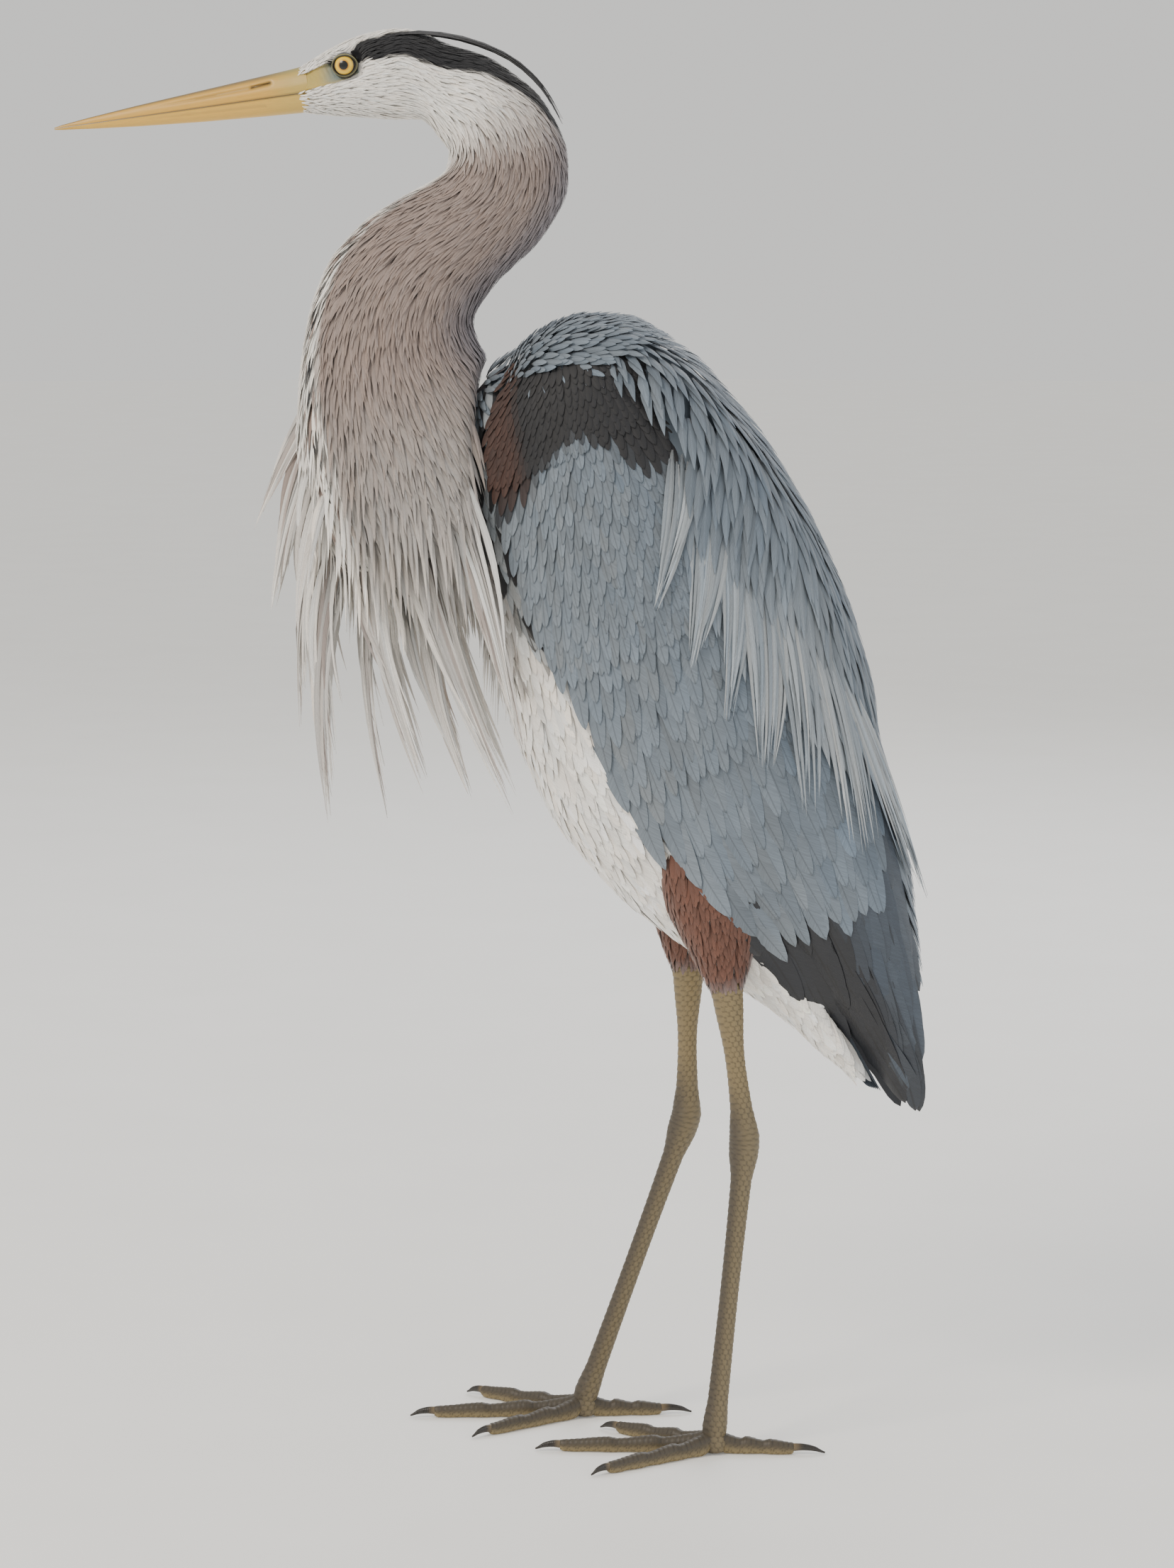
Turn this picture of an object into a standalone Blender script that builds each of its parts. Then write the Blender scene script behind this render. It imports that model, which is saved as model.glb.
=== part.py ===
"""Great blue heron at life size, standing at rest with its neck drawn back into a fold.

Metres, +Z up. The bird faces -X and its left side is towards -Y. It stands on its toes at z = 0,
and the origin is on the floor under the middle of its box.

Every form is a loft: rings set across a smooth line, with widths and depths read from short tables.
Tables are in millimetres. Neighbours that would run into each other are trimmed with a copy of the
neighbour grown by GAP, so that the pieces meet without touching.
"""

import math

import bmesh
import bpy
from mathutils import Matrix, Vector

MM = 0.001
GAP = 0.35  # clearance between neighbouring pieces, in millimetres

# ---- stance, in millimetres ----
BODY_FRONT = Vector((-92, 0, 655))  # where the body's long axis starts, between the shoulders
BODY_TILT = math.radians(63)  # the axis runs down and back at this angle below the level
HEAD_BASE = Vector((-233, 0, 827))  # on the mouth line, below the foremost forehead feathers
HEAD_PITCH = math.radians(8)  # the bill points this far below the level
BILL_LENGTH = 146
EYE_BACK, EYE_UP, EYE_OUT = 33, 12.5, 12.4  # eye centre: behind the head base, above the mouth, from midline
EYE_RADIUS = 8.2

HOCK_HEIGHT = 196
TARSUS_BASE = 11  # height of the joint that the toes leave from
FEET = {"left": (20, -1), "right": (-60, 1)}  # each foot's place along X, and the side of Y that it is on
HOCKS = {"left": 38, "right": 4}
THIGHS = {"left": (11, 412), "right": (5, 414)}  # where each leg's line starts in the body, along X and Z
HIP_OUT, HOCK_OUT, FOOT_OUT = 30, 33, 40  # distance from the midline, going down the leg

# name: direction from straight ahead in degrees (outwards is positive), length without the claw
TOES = {"middle": (-2, 92), "inner": (-36, 70), "outer": (34, 76), "hind": (176, 46)}
CLAW_LENGTH = {"middle": 15, "inner": 13, "outer": 12, "hind": 19}

PALETTE = {  # name: (linear red, green, blue), roughness
    "slate_feather": ((0.115, 0.145, 0.185), 0.75),
    "flight_feather": ((0.045, 0.055, 0.07), 0.7),
    "plume": ((0.33, 0.35, 0.37), 0.8),
    "neck_feather": ((0.36, 0.30, 0.27), 0.8),
    "head_feather": ((0.75, 0.74, 0.71), 0.8),
    "black_feather": ((0.012, 0.013, 0.018), 0.6),
    "thigh_feather": ((0.30, 0.085, 0.035), 0.8),
    "bill_horn": ((0.50, 0.31, 0.05), 0.35),
    "eye": ((0.75, 0.50, 0.04), 0.08),
    "leg_scale": ((0.10, 0.085, 0.055), 0.55),
    "claw_horn": ((0.03, 0.025, 0.02), 0.4),
}


# ---- smooth lines through tables ----


def eased(rows, at):
    """The row of a table at a fractional row number, on a smooth curve through its rows."""
    last = len(rows) - 1
    i = min(int(at), last - 1)
    f = at - i
    p = [rows[min(max(i + k, 0), last)] for k in (-1, 0, 1, 2)]
    weights = (
        -0.5 * f + f * f - 0.5 * f**3,
        1 - 2.5 * f * f + 1.5 * f**3,
        0.5 * f + 2 * f * f - 1.5 * f**3,
        -0.5 * f * f + 0.5 * f**3,
    )
    return [sum(w * row[c] for w, row in zip(weights, p)) for c in range(len(rows[0]))]


def sampled(rows, first=0.0, last=None, per_span=1):
    """Rows of a table read at even steps between two fractional row numbers."""
    last = len(rows) - 1 if last is None else last
    steps = max(1, math.ceil((last - first) * per_span - 1e-6))
    return [eased(rows, first + (last - first) * k / steps) for k in range(steps + 1)]


# ---- frames of the body and head ----


def body_point(along, back, out=0.0):
    """A point by its distance down the body's axis, towards the bird's back, and from the midline."""
    axis = Vector((math.cos(BODY_TILT), 0, -math.sin(BODY_TILT)))
    dorsal = Vector((math.sin(BODY_TILT), 0, math.cos(BODY_TILT)))
    return BODY_FRONT + axis * along + dorsal * back + Vector((0, out, 0))


def head_point(behind, above, out=0.0):
    """A point by its distance behind the bill's base, above the mouth line, and from the midline."""
    rearward = Vector((math.cos(HEAD_PITCH), 0, math.sin(HEAD_PITCH)))
    upward = Vector((-math.sin(HEAD_PITCH), 0, math.cos(HEAD_PITCH)))
    return HEAD_BASE + rearward * behind + upward * above + Vector((0, out, 0))


# ---- solids ----


def material(name):
    made = bpy.data.materials.get(name)
    if made:
        return made
    colour, roughness = PALETTE[name]
    made = bpy.data.materials.new(name)
    made.use_nodes = True
    shader = made.node_tree.nodes["Principled BSDF"]
    shader.inputs["Base Color"].default_value = (*colour, 1)
    shader.inputs["Roughness"].default_value = roughness
    made.diffuse_color = (*colour, 1)
    return made


def solid(name, shell, finish):
    """An object from a bmesh whose points are in millimetres."""
    bmesh.ops.recalc_face_normals(shell, faces=shell.faces)
    mesh = bpy.data.meshes.new(name)
    shell.to_mesh(mesh)
    shell.free()
    mesh.transform(Matrix.Scale(MM, 4))
    mesh.shade_smooth()
    mesh.set_sharp_from_angle(angle=math.radians(50))
    made = bpy.data.objects.new(name, mesh)
    bpy.context.scene.collection.objects.link(made)
    made.data.materials.append(material(finish))
    return made


def add_loft(shell, rings, on_floor=False):
    """Skins a list of rings, each a closed loop of points, and closes both ends."""
    if on_floor:
        rings = [[Vector((p.x, p.y, max(p.z, 0.0))) for p in ring] for ring in rings]
    loops = [[shell.verts.new(p) for p in ring] for ring in rings]
    count = len(loops[0])
    for low, high in zip(loops, loops[1:]):
        for k in range(count):
            j = (k + 1) % count
            shell.faces.new((low[k], low[j], high[j]))  # triangles, so that a piece and its
            shell.faces.new((low[k], high[j], high[k]))  # grown copy bend along the same diagonals
    shell.faces.new(loops[0])
    shell.faces.new(reversed(loops[-1]))


def loft(name, rings, finish, on_floor=False):
    shell = bmesh.new()
    add_loft(shell, rings, on_floor)
    return solid(name, shell, finish)


def oval(centre, across, front, half_width, fore, aft, sides, turn=0.0):
    """A ring round a centre, with its own depth to the front and to the back. A turn of half a side
    puts a flat side, and not a corner, at the back."""
    ring = []
    for k in range(sides):
        a = 2 * math.pi * (k + turn) / sides
        c, s = math.cos(a), math.sin(a)
        ring.append(centre + across * half_width * c + front * (fore if s > 0 else aft) * s)
    return ring


def tube_rings(centres, sizes, sides, hint=Vector((0, 1, 0)), grow=0.0):
    """Rings across a line of centres. sizes gives (half width, depth in front, depth behind) for each."""
    rings = []
    for i, centre in enumerate(centres):
        ahead = centres[min(i + 1, len(centres) - 1)]
        behind = centres[max(i - 1, 0)]
        tangent = (ahead - behind).normalized()
        across = (hint - tangent * hint.dot(tangent)).normalized()
        front = across.cross(tangent)
        w, f, b = (size + grow for size in sizes[i])
        end = {0: -grow, len(centres) - 1: grow}.get(i, 0.0)
        rings.append(oval(centre + tangent * end, across, front, w, f, b, sides))
    return rings


def hidden(tool):
    """Marks an object as a cutting tool: it isn't part of the bird."""
    tool.hide_render = True
    tool.display_type = "WIRE"
    return tool


def combine(piece, tool, operation="DIFFERENCE"):
    modifier = piece.modifiers.new(operation.lower() + "_" + tool.name, "BOOLEAN")
    modifier.object = tool
    modifier.operation = operation
    modifier.solver = "EXACT"
    modifier.use_self = operation == "UNION"
    return piece


# ---- head ----

HEAD_TABLE = [  # behind the bill's base, height above the mouth line, depth below it, half width
    (-1, 13.5, 11.0, 9.0),
    (10, 18.5, 14.0, 13.5),
    (23, 24.0, 17.0, 17.5),
    (38, 29.0, 20.0, 20.0),
    (54, 31.5, 23.5, 22.0),
    (70, 30.5, 26.0, 22.5),
    (84, 25.5, 26.5, 20.5),
    (95, 17.0, 23.0, 16.0),
    (102, 6.0, 15.0, 8.0),
]
BILL_TABLE = [  # share of the bill's length from its tip, height above the mouth, depth below it, half width
    (0.000, 0.5, 0.5, 0.5),
    (0.035, 1.5, 1.3, 1.1),
    (0.150, 3.6, 3.0, 2.4),
    (0.350, 6.6, 5.6, 4.2),
    (0.600, 9.8, 8.2, 6.2),
    (0.850, 13.0, 10.2, 8.2),
    (1.000, 15.0, 11.2, 9.6),
    (1.060, 16.0, 11.4, 10.4),
]


def head_form(name, grow=0.0):
    rows = sampled(HEAD_TABLE, per_span=2)
    rings = []
    for k, (behind, above, below, half) in enumerate(rows):
        end = {0: -grow, len(rows) - 1: grow}.get(k, 0.0)
        middle = head_point(behind + end, (above - below) / 2)
        half_depth = (above + below) / 2 + grow
        upward = (head_point(0, 1) - head_point(0, 0)).normalized()
        rings.append(
            oval(middle, Vector((0, 1, 0)), upward, half + grow, half_depth, half_depth, 14)
        )
    return loft(name, rings, "head_feather")


def mandible(name, upper):
    """One half of the bill: flat along the mouth, with a rounded ridge on its outer side."""
    sides = 7
    rings = []
    for share, above, below, half in sampled(BILL_TABLE):
        behind = -BILL_LENGTH * (1 - share)
        height = above if upper else -below
        lip = GAP / 2 if upper else -GAP / 2
        ring = []
        for k in range(sides):
            a = math.pi * k / (sides - 1)
            ridge = max(math.sin(a), 0.0) ** 0.9
            ring.append(head_point(behind, lip + height * ridge, half * math.cos(a)))
        rings.append(ring)
    return loft(name, rings, "bill_horn")


def eye_form(name, side, grow=0.0):
    shell = bmesh.new()
    bmesh.ops.create_uvsphere(shell, u_segments=12, v_segments=7, radius=EYE_RADIUS + grow)
    bmesh.ops.translate(shell, verts=shell.verts, vec=head_point(EYE_BACK, EYE_UP, side * EYE_OUT))
    return solid(name, shell, "eye")


CREST_TABLE = [  # x, z, from the midline, half width, half thickness, from the crown down the nape
    (-184, 862, 9.0, 4.6, 2.6),
    (-160, 864, 8.6, 5.6, 3.0),
    (-133, 860, 7.6, 5.0, 3.2),
    (-106, 849, 6.4, 4.0, 3.0),
    (-86, 831, 5.6, 2.8, 2.6),
    (-74, 810, 5.0, 1.0, 1.8),
]


def crest_form(name, side):
    """One of the two narrow black plumes that leave the back of the crown and lie along the nape."""
    line = sampled(CREST_TABLE)
    centres = [Vector((x, side * out, z)) for x, z, out, _, _ in line]
    sizes = [(width, thick, thick) for _, _, _, width, thick in line]
    return loft(name, tube_rings(centres, sizes, 6), "black_feather")


# ---- neck ----

NECK_TABLE = [  # x and z on the throat's side, x and z on the nape's side, half width, head to breast
    (-150, 802, -160, 861, 18),
    (-140, 790, -112, 849, 23),
    (-149, 776, -79, 820, 27),
    (-180, 762, -66, 785, 30),
    (-206, 742, -74, 752, 32),
    (-221, 718, -98, 727, 33),
    (-229, 692, -122, 704, 35),
    (-233, 664, -126, 684, 38),
    (-236, 634, -112, 668, 43),
    (-235, 602, -92, 648, 49),
    (-226, 570, -78, 622, 54),
    (-208, 536, -72, 592, 57),
    (-182, 504, -70, 560, 55),
    (-150, 478, -74, 528, 44),
    (-112, 468, -80, 502, 26),
]
NECK_SIDES = 16
NECK_PARTS = (("neck_upper", 0, 3.5), ("neck_middle", 3.5, 7.5), ("neck_lower", 7.5, 14))
PLUME_TABLE = [  # root x, z and distance from the midline, tip x, z and distance, how far it bows out
    (-224, 640, 0, -261, 566, 0, -2),
    (-222, 622, 12, -250, 517, 14, -5),
    (-214, 606, 27, -234, 508, 31, -5),
    (-218, 590, 3, -234, 446, 5, -8),
    (-204, 572, 17, -217, 388, 15, -12),
    (-194, 552, 0, -181, 389, 0, -8),
    (-190, 562, 36, -157, 408, 32, -8),
    (-166, 524, 16, -130, 402, 13, -5),
    (-164, 556, 47, -102, 396, 46, -4),
    (-140, 590, 52, -96, 440, 66, 3),
]


def neck_rings(first, last, grow=0.0, trim=GAP / 2):
    """Rings of a stretch of neck. Both ends are drawn in by the trim, so that two stretches meet clear."""
    rings = []
    rows = sampled(NECK_TABLE, first, last, 1)
    for k, (throat_x, throat_z, nape_x, nape_z, half_width) in enumerate(rows):
        throat = Vector((throat_x, 0, throat_z))
        nape = Vector((nape_x, 0, nape_z))
        front = (throat - nape).normalized()
        onward = Vector((-front.z, 0, front.x))
        shift = {0: trim, len(rows) - 1: -trim}.get(k, 0.0)
        half_depth = (throat - nape).length / 2 + grow
        centre = (throat + nape) / 2 + onward * shift
        rings.append(
            oval(centre, Vector((0, 1, 0)), front, half_width + grow, half_depth, half_depth, NECK_SIDES)
        )
    return rings


def blade_rings(root, tip, bow, half_width, half_thick, hint):
    """Rings of one long pointed plume that leaves its root thick and bends towards the ground."""
    widths = ((0.85, 1.0), (1.0, 0.9), (0.74, 0.65), (0.12, 0.3))
    centres = []
    sizes = []
    for width, thick, share in ((w, t, k / (len(widths) - 1)) for k, (w, t) in enumerate(widths)):
        centre = root.lerp(tip, share) + bow * math.sin(math.pi * share)
        centres.append(centre)
        sizes.append((half_width * width, half_thick * thick, half_thick * thick))
    return tube_rings(centres, sizes, 4, hint=hint)


def breast_plumes(name):
    """The long plumes of the lower foreneck, on the midline and in pairs beside it."""
    shell = bmesh.new()
    for x0, z0, y0, x1, z1, y1, bow in PLUME_TABLE:
        for side in (-1, 1) if y0 else (1,):
            root = Vector((x0, side * y0, z0))
            tip = Vector((x1, side * y1, z1))
            outward = Vector((bow, 0, 0))
            add_loft(shell, blade_rings(root, tip, outward, 8.5, 4.0, Vector((0, 1, 0))))
    return hidden(solid(name, shell, "plume"))


# ---- trunk, tail and wings ----

TRUNK_TABLE = [  # distance down the axis, depth to the back, depth to the belly, half width
    (-22, 18, 22, 16),
    (-8, 38, 44, 34),
    (22, 62, 66, 50),
    (70, 80, 84, 60),
    (125, 88, 98, 65),
    (185, 88, 112, 66),
    (245, 79, 116, 62),
    (305, 63, 101, 53),
    (360, 46, 72, 42),
    (405, 30, 49, 29),
    (432, 18, 34, 16),
]
TAIL_TABLE = [  # distance down the axis, towards the back, half width, half thickness
    (385, -18, 22, 20),
    (415, -21, 24, 19),
    (450, -16, 23, 12),
    (478, -10, 17, 5),
    (490, -8, 10, 3),
]
WING_TABLE = [  # down the axis, lower edge, upper edge (towards the back), inner face and outer bulge
    (-26, 6, 40, 22, 40),
    (-16, -8, 62, 12, 54),
    (10, -34, 84, 4, 70),
    (55, -52, 99, 2, 79),
    (110, -62, 106, 1, 83),
    (170, -64, 107, 1, 82),
    (235, -62, 101, 1, 78),
    (300, -50, 90, 1, 70),
    (360, -29, 76, 1, 59),
    (415, -13, 60, 1.5, 47),
    (460, -4, 43, 2, 35),
    (492, 2, 28, 4, 23),
    (508, 7, 17, 6, 15),
]
SIDE_POINTS = 12
WING_PARTS = (("coverts", 0, 5.0), ("flight_feathers", 5.0, 12))
SCAPULAR_TABLE = [  # down the axis, lower edge, upper edge, inner face and outer bulge of the plumes' saddle
    (-24, 20, 46, 10, 36),
    (-8, 22, 74, 5, 58),
    (30, 26, 98, 2, 76),
    (90, 30, 112, 1, 84),
    (150, 44, 116, 1, 78),
    (205, 62, 113, 1, 62),
    (245, 78, 106, 1, 42),
    (275, 88, 99, 1, 24),
]
SCAPULAR_PLUMES = [  # root down the axis, towards the back, tip down the axis, towards the back
    (86, 60, 150, 6),
    (108, 64, 190, 9),
    (128, 68, 228, 12),
    (148, 74, 264, 18),
    (168, 80, 300, 27),
    (188, 87, 336, 36),
    (206, 94, 366, 50),
    (222, 101, 388, 69),
]


def trunk_form(name, grow=0.0):
    rows = sampled(TRUNK_TABLE)
    rings = []
    for k, (along, back, belly, half) in enumerate(rows):
        end = {0: -grow, len(rows) - 1: grow}.get(k, 0.0)
        centre = body_point(along + end, 0)
        dorsal = (body_point(0, 1) - body_point(0, 0)).normalized()
        rings.append(
            oval(centre, Vector((0, 1, 0)), dorsal, half + grow, back + grow, belly + grow, 16)
        )
    return loft(name, rings, "slate_feather")


def tail_form(name, grow=0.0):
    rows = sampled(TAIL_TABLE, per_span=2)
    centres = [body_point(along, back) for along, back, _, _ in rows]
    sizes = [(w, t, t) for _, _, w, t in rows]
    return loft(name, tube_rings(centres, sizes, 14, grow=grow), "flight_feather")


def side_ring(along, low, high, inner, outer, grow):
    """A ring across the body's axis with a flat inner face near the midline and a full outer side."""
    middle, half = (low + high) / 2, (high - low) / 2 + grow
    ring = []
    for k in range(SIDE_POINTS):
        a = math.pi * k / (SIDE_POINTS - 1)
        lift = max(math.sin(a), 0.0) ** 0.72
        out = inner - grow + (outer - inner + 2 * grow) * lift
        ring.append(body_point(along, middle - half * math.cos(a), out))
    return ring


def side_form(name, table, finish, first=0.0, last=None, grow=0.0, trims=(0.0, 0.0)):
    rows = sampled(table, first, last, 1)
    rows[0][0] += trims[0] - grow
    rows[-1][0] += grow - trims[1]
    rings = [side_ring(*row, grow) for row in rows]
    return loft(name, rings, finish)


def surface_out(table, along, back):
    """How far a side form's outer surface lies from the midline, at a place on the body."""
    spans = [r[0] for r in table]
    i = max(k for k in range(len(spans) - 1) if spans[k] <= along or k == 0)
    share = (along - spans[i]) / (spans[i + 1] - spans[i])
    low, high, inner, outer = (
        a + (b - a) * share for a, b in zip(table[i][1:], table[i + 1][1:])
    )
    level = max(-1.0, min(1.0, (back - (low + high) / 2) / ((high - low) / 2)))
    return inner + (outer - inner) * math.sqrt(1 - level * level) ** 0.72


def scapular_plumes(name):
    """Long loose plumes that hang from the shoulder over the folded wing."""
    shell = bmesh.new()
    for along, back, end_along, end_back in SCAPULAR_PLUMES:
        root_out = surface_out(WING_TABLE, along, back) - 1.0
        tip_out = surface_out(WING_TABLE, end_along, end_back) + 1.5
        root = body_point(along, back, root_out)
        tip = body_point(end_along, end_back, tip_out)
        bow = Vector((0, 5, 0))
        hint = (body_point(0, 1) - body_point(0, 0)).normalized()
        add_loft(shell, blade_rings(root, tip, bow, 9.0, 2.6, hint))
    return hidden(solid(name, shell, "plume"))


# ---- legs ----

LEG_TABLE = [  # share of the way down, half width, depth in front, depth behind
    (0.00, 16, 20, 20),
    (0.16, 25, 34, 36),
    (0.31, 26, 32, 34),
    (0.44, 20, 22, 24),
    (0.54, 12.5, 14, 15),
    (0.60, 7.8, 9.0, 9.6),
    (0.76, 5.4, 6.0, 6.2),
    (0.91, 5.8, 6.6, 7.0),
    (1.00, 7.8, 9.2, 9.4),
]
THIGH_SHARE = 5  # the row of LEG_TABLE where the feathers end
TARSUS_TABLE = [  # share of the way down, half width, depth in front, depth behind
    (0.00, 7.8, 9.2, 9.4),
    (0.05, 7.4, 8.6, 9.4),
    (0.14, 5.2, 6.0, 7.0),
    (0.50, 4.6, 5.4, 6.0),
    (0.88, 5.4, 6.2, 6.4),
    (0.97, 7.6, 7.8, 7.4),
    (1.00, 7.4, 7.4, 7.0),
]


def leg_line(table, start, end):
    """Centres and sizes of one stretch of leg, straight between two joints."""
    rows = sampled(table)
    return [start.lerp(end, r[0]) for r in rows], [tuple(r[1:]) for r in rows]


def joints_of(leg):
    foot_x, side = FEET[leg]
    thigh_x, thigh_z = THIGHS[leg]
    hip = Vector((thigh_x, side * HIP_OUT, thigh_z))
    hock = Vector((HOCKS[leg], side * HOCK_OUT, HOCK_HEIGHT))
    foot = Vector((foot_x, side * FOOT_OUT, TARSUS_BASE))
    return side, hip, hock, foot


def shortened(centres, start, end):
    """The same line with its two ends drawn in by these lengths."""
    first = centres[0] + (centres[1] - centres[0]).normalized() * start
    last = centres[-1] - (centres[-1] - centres[-2]).normalized() * end
    return [first, *centres[1:-1], last]


def leg_forms(leg):
    _, hip, hock, foot = joints_of(leg)
    centres, sizes = leg_line(LEG_TABLE, hip, hock)
    split = THIGH_SHARE
    thigh_line = shortened(centres[: split + 1], 0, GAP / 2)
    thigh = loft("thigh_" + leg, tube_rings(thigh_line, sizes[: split + 1], 12), "thigh_feather")
    shank_line = shortened(centres[split:], GAP / 2, 0)
    shank = loft("shank_" + leg, tube_rings(shank_line, sizes[split:], 9), "leg_scale")
    centres, sizes = leg_line(TARSUS_TABLE, hock, foot)
    loft("tarsus_" + leg, tube_rings(centres, sizes, 9), "leg_scale", on_floor=True)
    return thigh, shank


def tarsus_tool(leg):
    _, _, hock, foot = joints_of(leg)
    centres, sizes = leg_line(TARSUS_TABLE, hock, foot)
    return hidden(
        loft("tool_tarsus_" + leg, tube_rings(centres, sizes, 9, grow=GAP), "leg_scale")
    )


def toe_line(leg, toe):
    """The centres of one toe and its claw, from the foot's joint out to the claw's tip."""
    side, _, _, foot = joints_of(leg)
    angle, length = TOES[toe]
    turn = math.radians(angle)
    ahead = Vector((-math.cos(turn), side * math.sin(turn), 0))
    start = Vector((foot.x, foot.y, 0)) + ahead * 3
    flat = [  # share of the toe, height of its middle, half width, half height
        (0.00, 8.0, 5.2, 6.0),
        (0.10, 5.6, 5.2, 6.4),
        (0.30, 4.4, 4.2, 5.0),
        (0.37, 4.9, 4.8, 5.6),
        (0.60, 3.8, 3.7, 4.4),
        (0.68, 4.2, 4.2, 4.9),
        (0.93, 3.4, 3.2, 4.0),
        (1.00, 3.3, 3.3, 3.8),
    ]
    claw = [  # share of the claw, height of its middle, half width, half height
        (0.00, 4.0, 2.1, 2.6),
        (0.35, 4.3, 1.7, 2.2),
        (0.70, 3.3, 1.2, 1.6),
        (1.00, 1.1, 0.5, 0.6),
    ]
    claw_length = CLAW_LENGTH[toe]
    toe_rows = sampled(flat)
    claw_rows = sampled(claw)
    up = Vector((0, 0, 1))
    toe_centres = [start + ahead * length * r[0] + up * r[1] for r in toe_rows]
    first = start + ahead * (length + GAP)
    claw_centres = [first + ahead * claw_length * r[0] + up * r[1] for r in claw_rows]
    sizes = [[(r[2], r[3], r[3]) for r in rows] for rows in (toe_rows, claw_rows)]
    return ahead, toe_centres, sizes[0], claw_centres, sizes[1]


def upright_rings(centres, sizes, ahead, sides, grow=0.0):
    """Rings that stand upright across a level direction, as on a toe, with a flat side underneath."""
    across = Vector((-ahead.y, ahead.x, 0))
    up = Vector((0, 0, 1))
    last = len(centres) - 1
    return [
        oval(
            centre + ahead * {0: -grow, last: grow}.get(i, 0.0),
            across, up, w + grow, f + grow, b + grow, sides, turn=0.5,
        )
        for i, (centre, (w, f, b)) in enumerate(zip(centres, sizes))
    ]


def toe_forms(leg, tarsus):
    middle_tool = None
    for toe in TOES:
        ahead, centres, sizes, claw_centres, claw_sizes = toe_line(leg, toe)
        rings = upright_rings(centres, sizes, ahead, 8)
        piece = loft(f"toe_{toe}_{leg}", rings, "leg_scale", on_floor=True)
        combine(piece, tarsus)
        if toe == "middle":
            grown = upright_rings(centres, sizes, ahead, 8, GAP)
            middle_tool = hidden(loft("tool_toe_" + leg, grown, "leg_scale"))
        elif toe != "hind":
            combine(piece, middle_tool)
        rings = upright_rings(claw_centres, claw_sizes, ahead, 6)
        loft(f"claw_{toe}_{leg}", rings, "claw_horn", on_floor=True)


# ---- the whole bird ----


def build_head():
    head = head_form("head")
    head_tool = hidden(head_form("tool_head", GAP))
    for side, word in ((-1, "left"), (1, "right")):
        eye_form("eye_" + word, side)
        combine(head, hidden(eye_form("tool_eye_" + word, side, GAP)))
    for name, upper in (("bill_upper", True), ("bill_lower", False)):
        combine(mandible(name, upper), head_tool)
    return head_tool


def mirrored(piece, name):
    """The same piece, with any cuts it has by now, on the bird's other side."""
    bpy.context.view_layer.update()
    shape = piece.evaluated_get(bpy.context.evaluated_depsgraph_get())
    mesh = bpy.data.meshes.new_from_object(shape)
    mesh.name = name
    mesh.transform(Matrix.Scale(-1, 4, Vector((0, 1, 0))))
    mesh.flip_normals()
    copy = bpy.data.objects.new(name, mesh)
    bpy.context.scene.collection.objects.link(copy)
    return copy


def build_trunk():
    """The trunk, tail and wings. It returns the tools that trim what else meets them."""
    trunk_form("trunk")
    trunk_tool = hidden(trunk_form("tool_trunk", GAP))
    tail_tool = hidden(tail_form("tool_tail", GAP))
    combine(tail_form("tail"), trunk_tool)
    for part, first, last in WING_PARTS:
        trims = (GAP / 2 if first else 0.0, 0.0 if first else GAP / 2)
        finish = "flight_feather" if first else "slate_feather"
        right = side_form(f"wing_{part}_right", WING_TABLE, finish, first, last, trims=trims)
        for wing in (right, mirrored(right, f"wing_{part}_left")):
            combine(wing, trunk_tool)
            combine(wing, tail_tool)
    wing_tool = hidden(side_form("tool_wing_right", WING_TABLE, "plume", grow=GAP))
    scapulars = side_form("scapulars_right", SCAPULAR_TABLE, "plume")
    combine(scapulars, scapular_plumes("plumes_scapular"), "UNION")
    combine(scapulars, wing_tool)
    combine(scapulars, trunk_tool)
    mirrored(scapulars, "scapulars_left")
    saddle_tool = hidden(side_form("tool_saddle_right", SCAPULAR_TABLE, "plume", grow=GAP))
    others = [hidden(mirrored(tool, tool.name[:-5] + "left")) for tool in (wing_tool, saddle_tool)]
    return [trunk_tool, wing_tool, saddle_tool, *others]


def build_neck(head_tool, body_tools):
    pieces = [loft(name, neck_rings(first, last), "neck_feather") for name, first, last in NECK_PARTS]
    neck_upper, _, neck_lower = pieces
    combine(neck_upper, head_tool)
    combine(neck_lower, breast_plumes("plumes_breast"), "UNION")
    for tool in body_tools:
        combine(neck_lower, tool)
    neck_tool = hidden(loft("tool_neck", neck_rings(0, 4, GAP), "neck_feather"))
    for side, word in ((-1, "left"), (1, "right")):
        crest = crest_form("crest_" + word, side)
        combine(crest, head_tool)
        combine(crest, neck_tool)


def build_legs(body_tools):
    for leg in FEET:
        thigh, shank = leg_forms(leg)
        tarsus = tarsus_tool(leg)
        combine(shank, tarsus)
        for tool in body_tools:
            combine(thigh, tool)
        toe_forms(leg, tarsus)


def centre_over_origin():
    """Slides the whole bird so that the origin is on the floor under the middle of its box."""
    bpy.context.view_layer.update()
    graph = bpy.context.evaluated_depsgraph_get()
    shown = [o for o in bpy.data.objects if not o.hide_render]
    corners = [p for o in shown for p in o.evaluated_get(graph).bound_box]
    middle = [(max(p[k] for p in corners) + min(p[k] for p in corners)) / 2 for k in (0, 1)]
    for obj in bpy.data.objects:
        obj.location = (-middle[0], -middle[1], 0)


def main():
    for obj in list(bpy.data.objects):
        bpy.data.objects.remove(obj)
    head_tool = build_head()
    body_tools = build_trunk()
    build_neck(head_tool, body_tools)
    build_legs(body_tools)
    centre_over_origin()


main()
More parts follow.
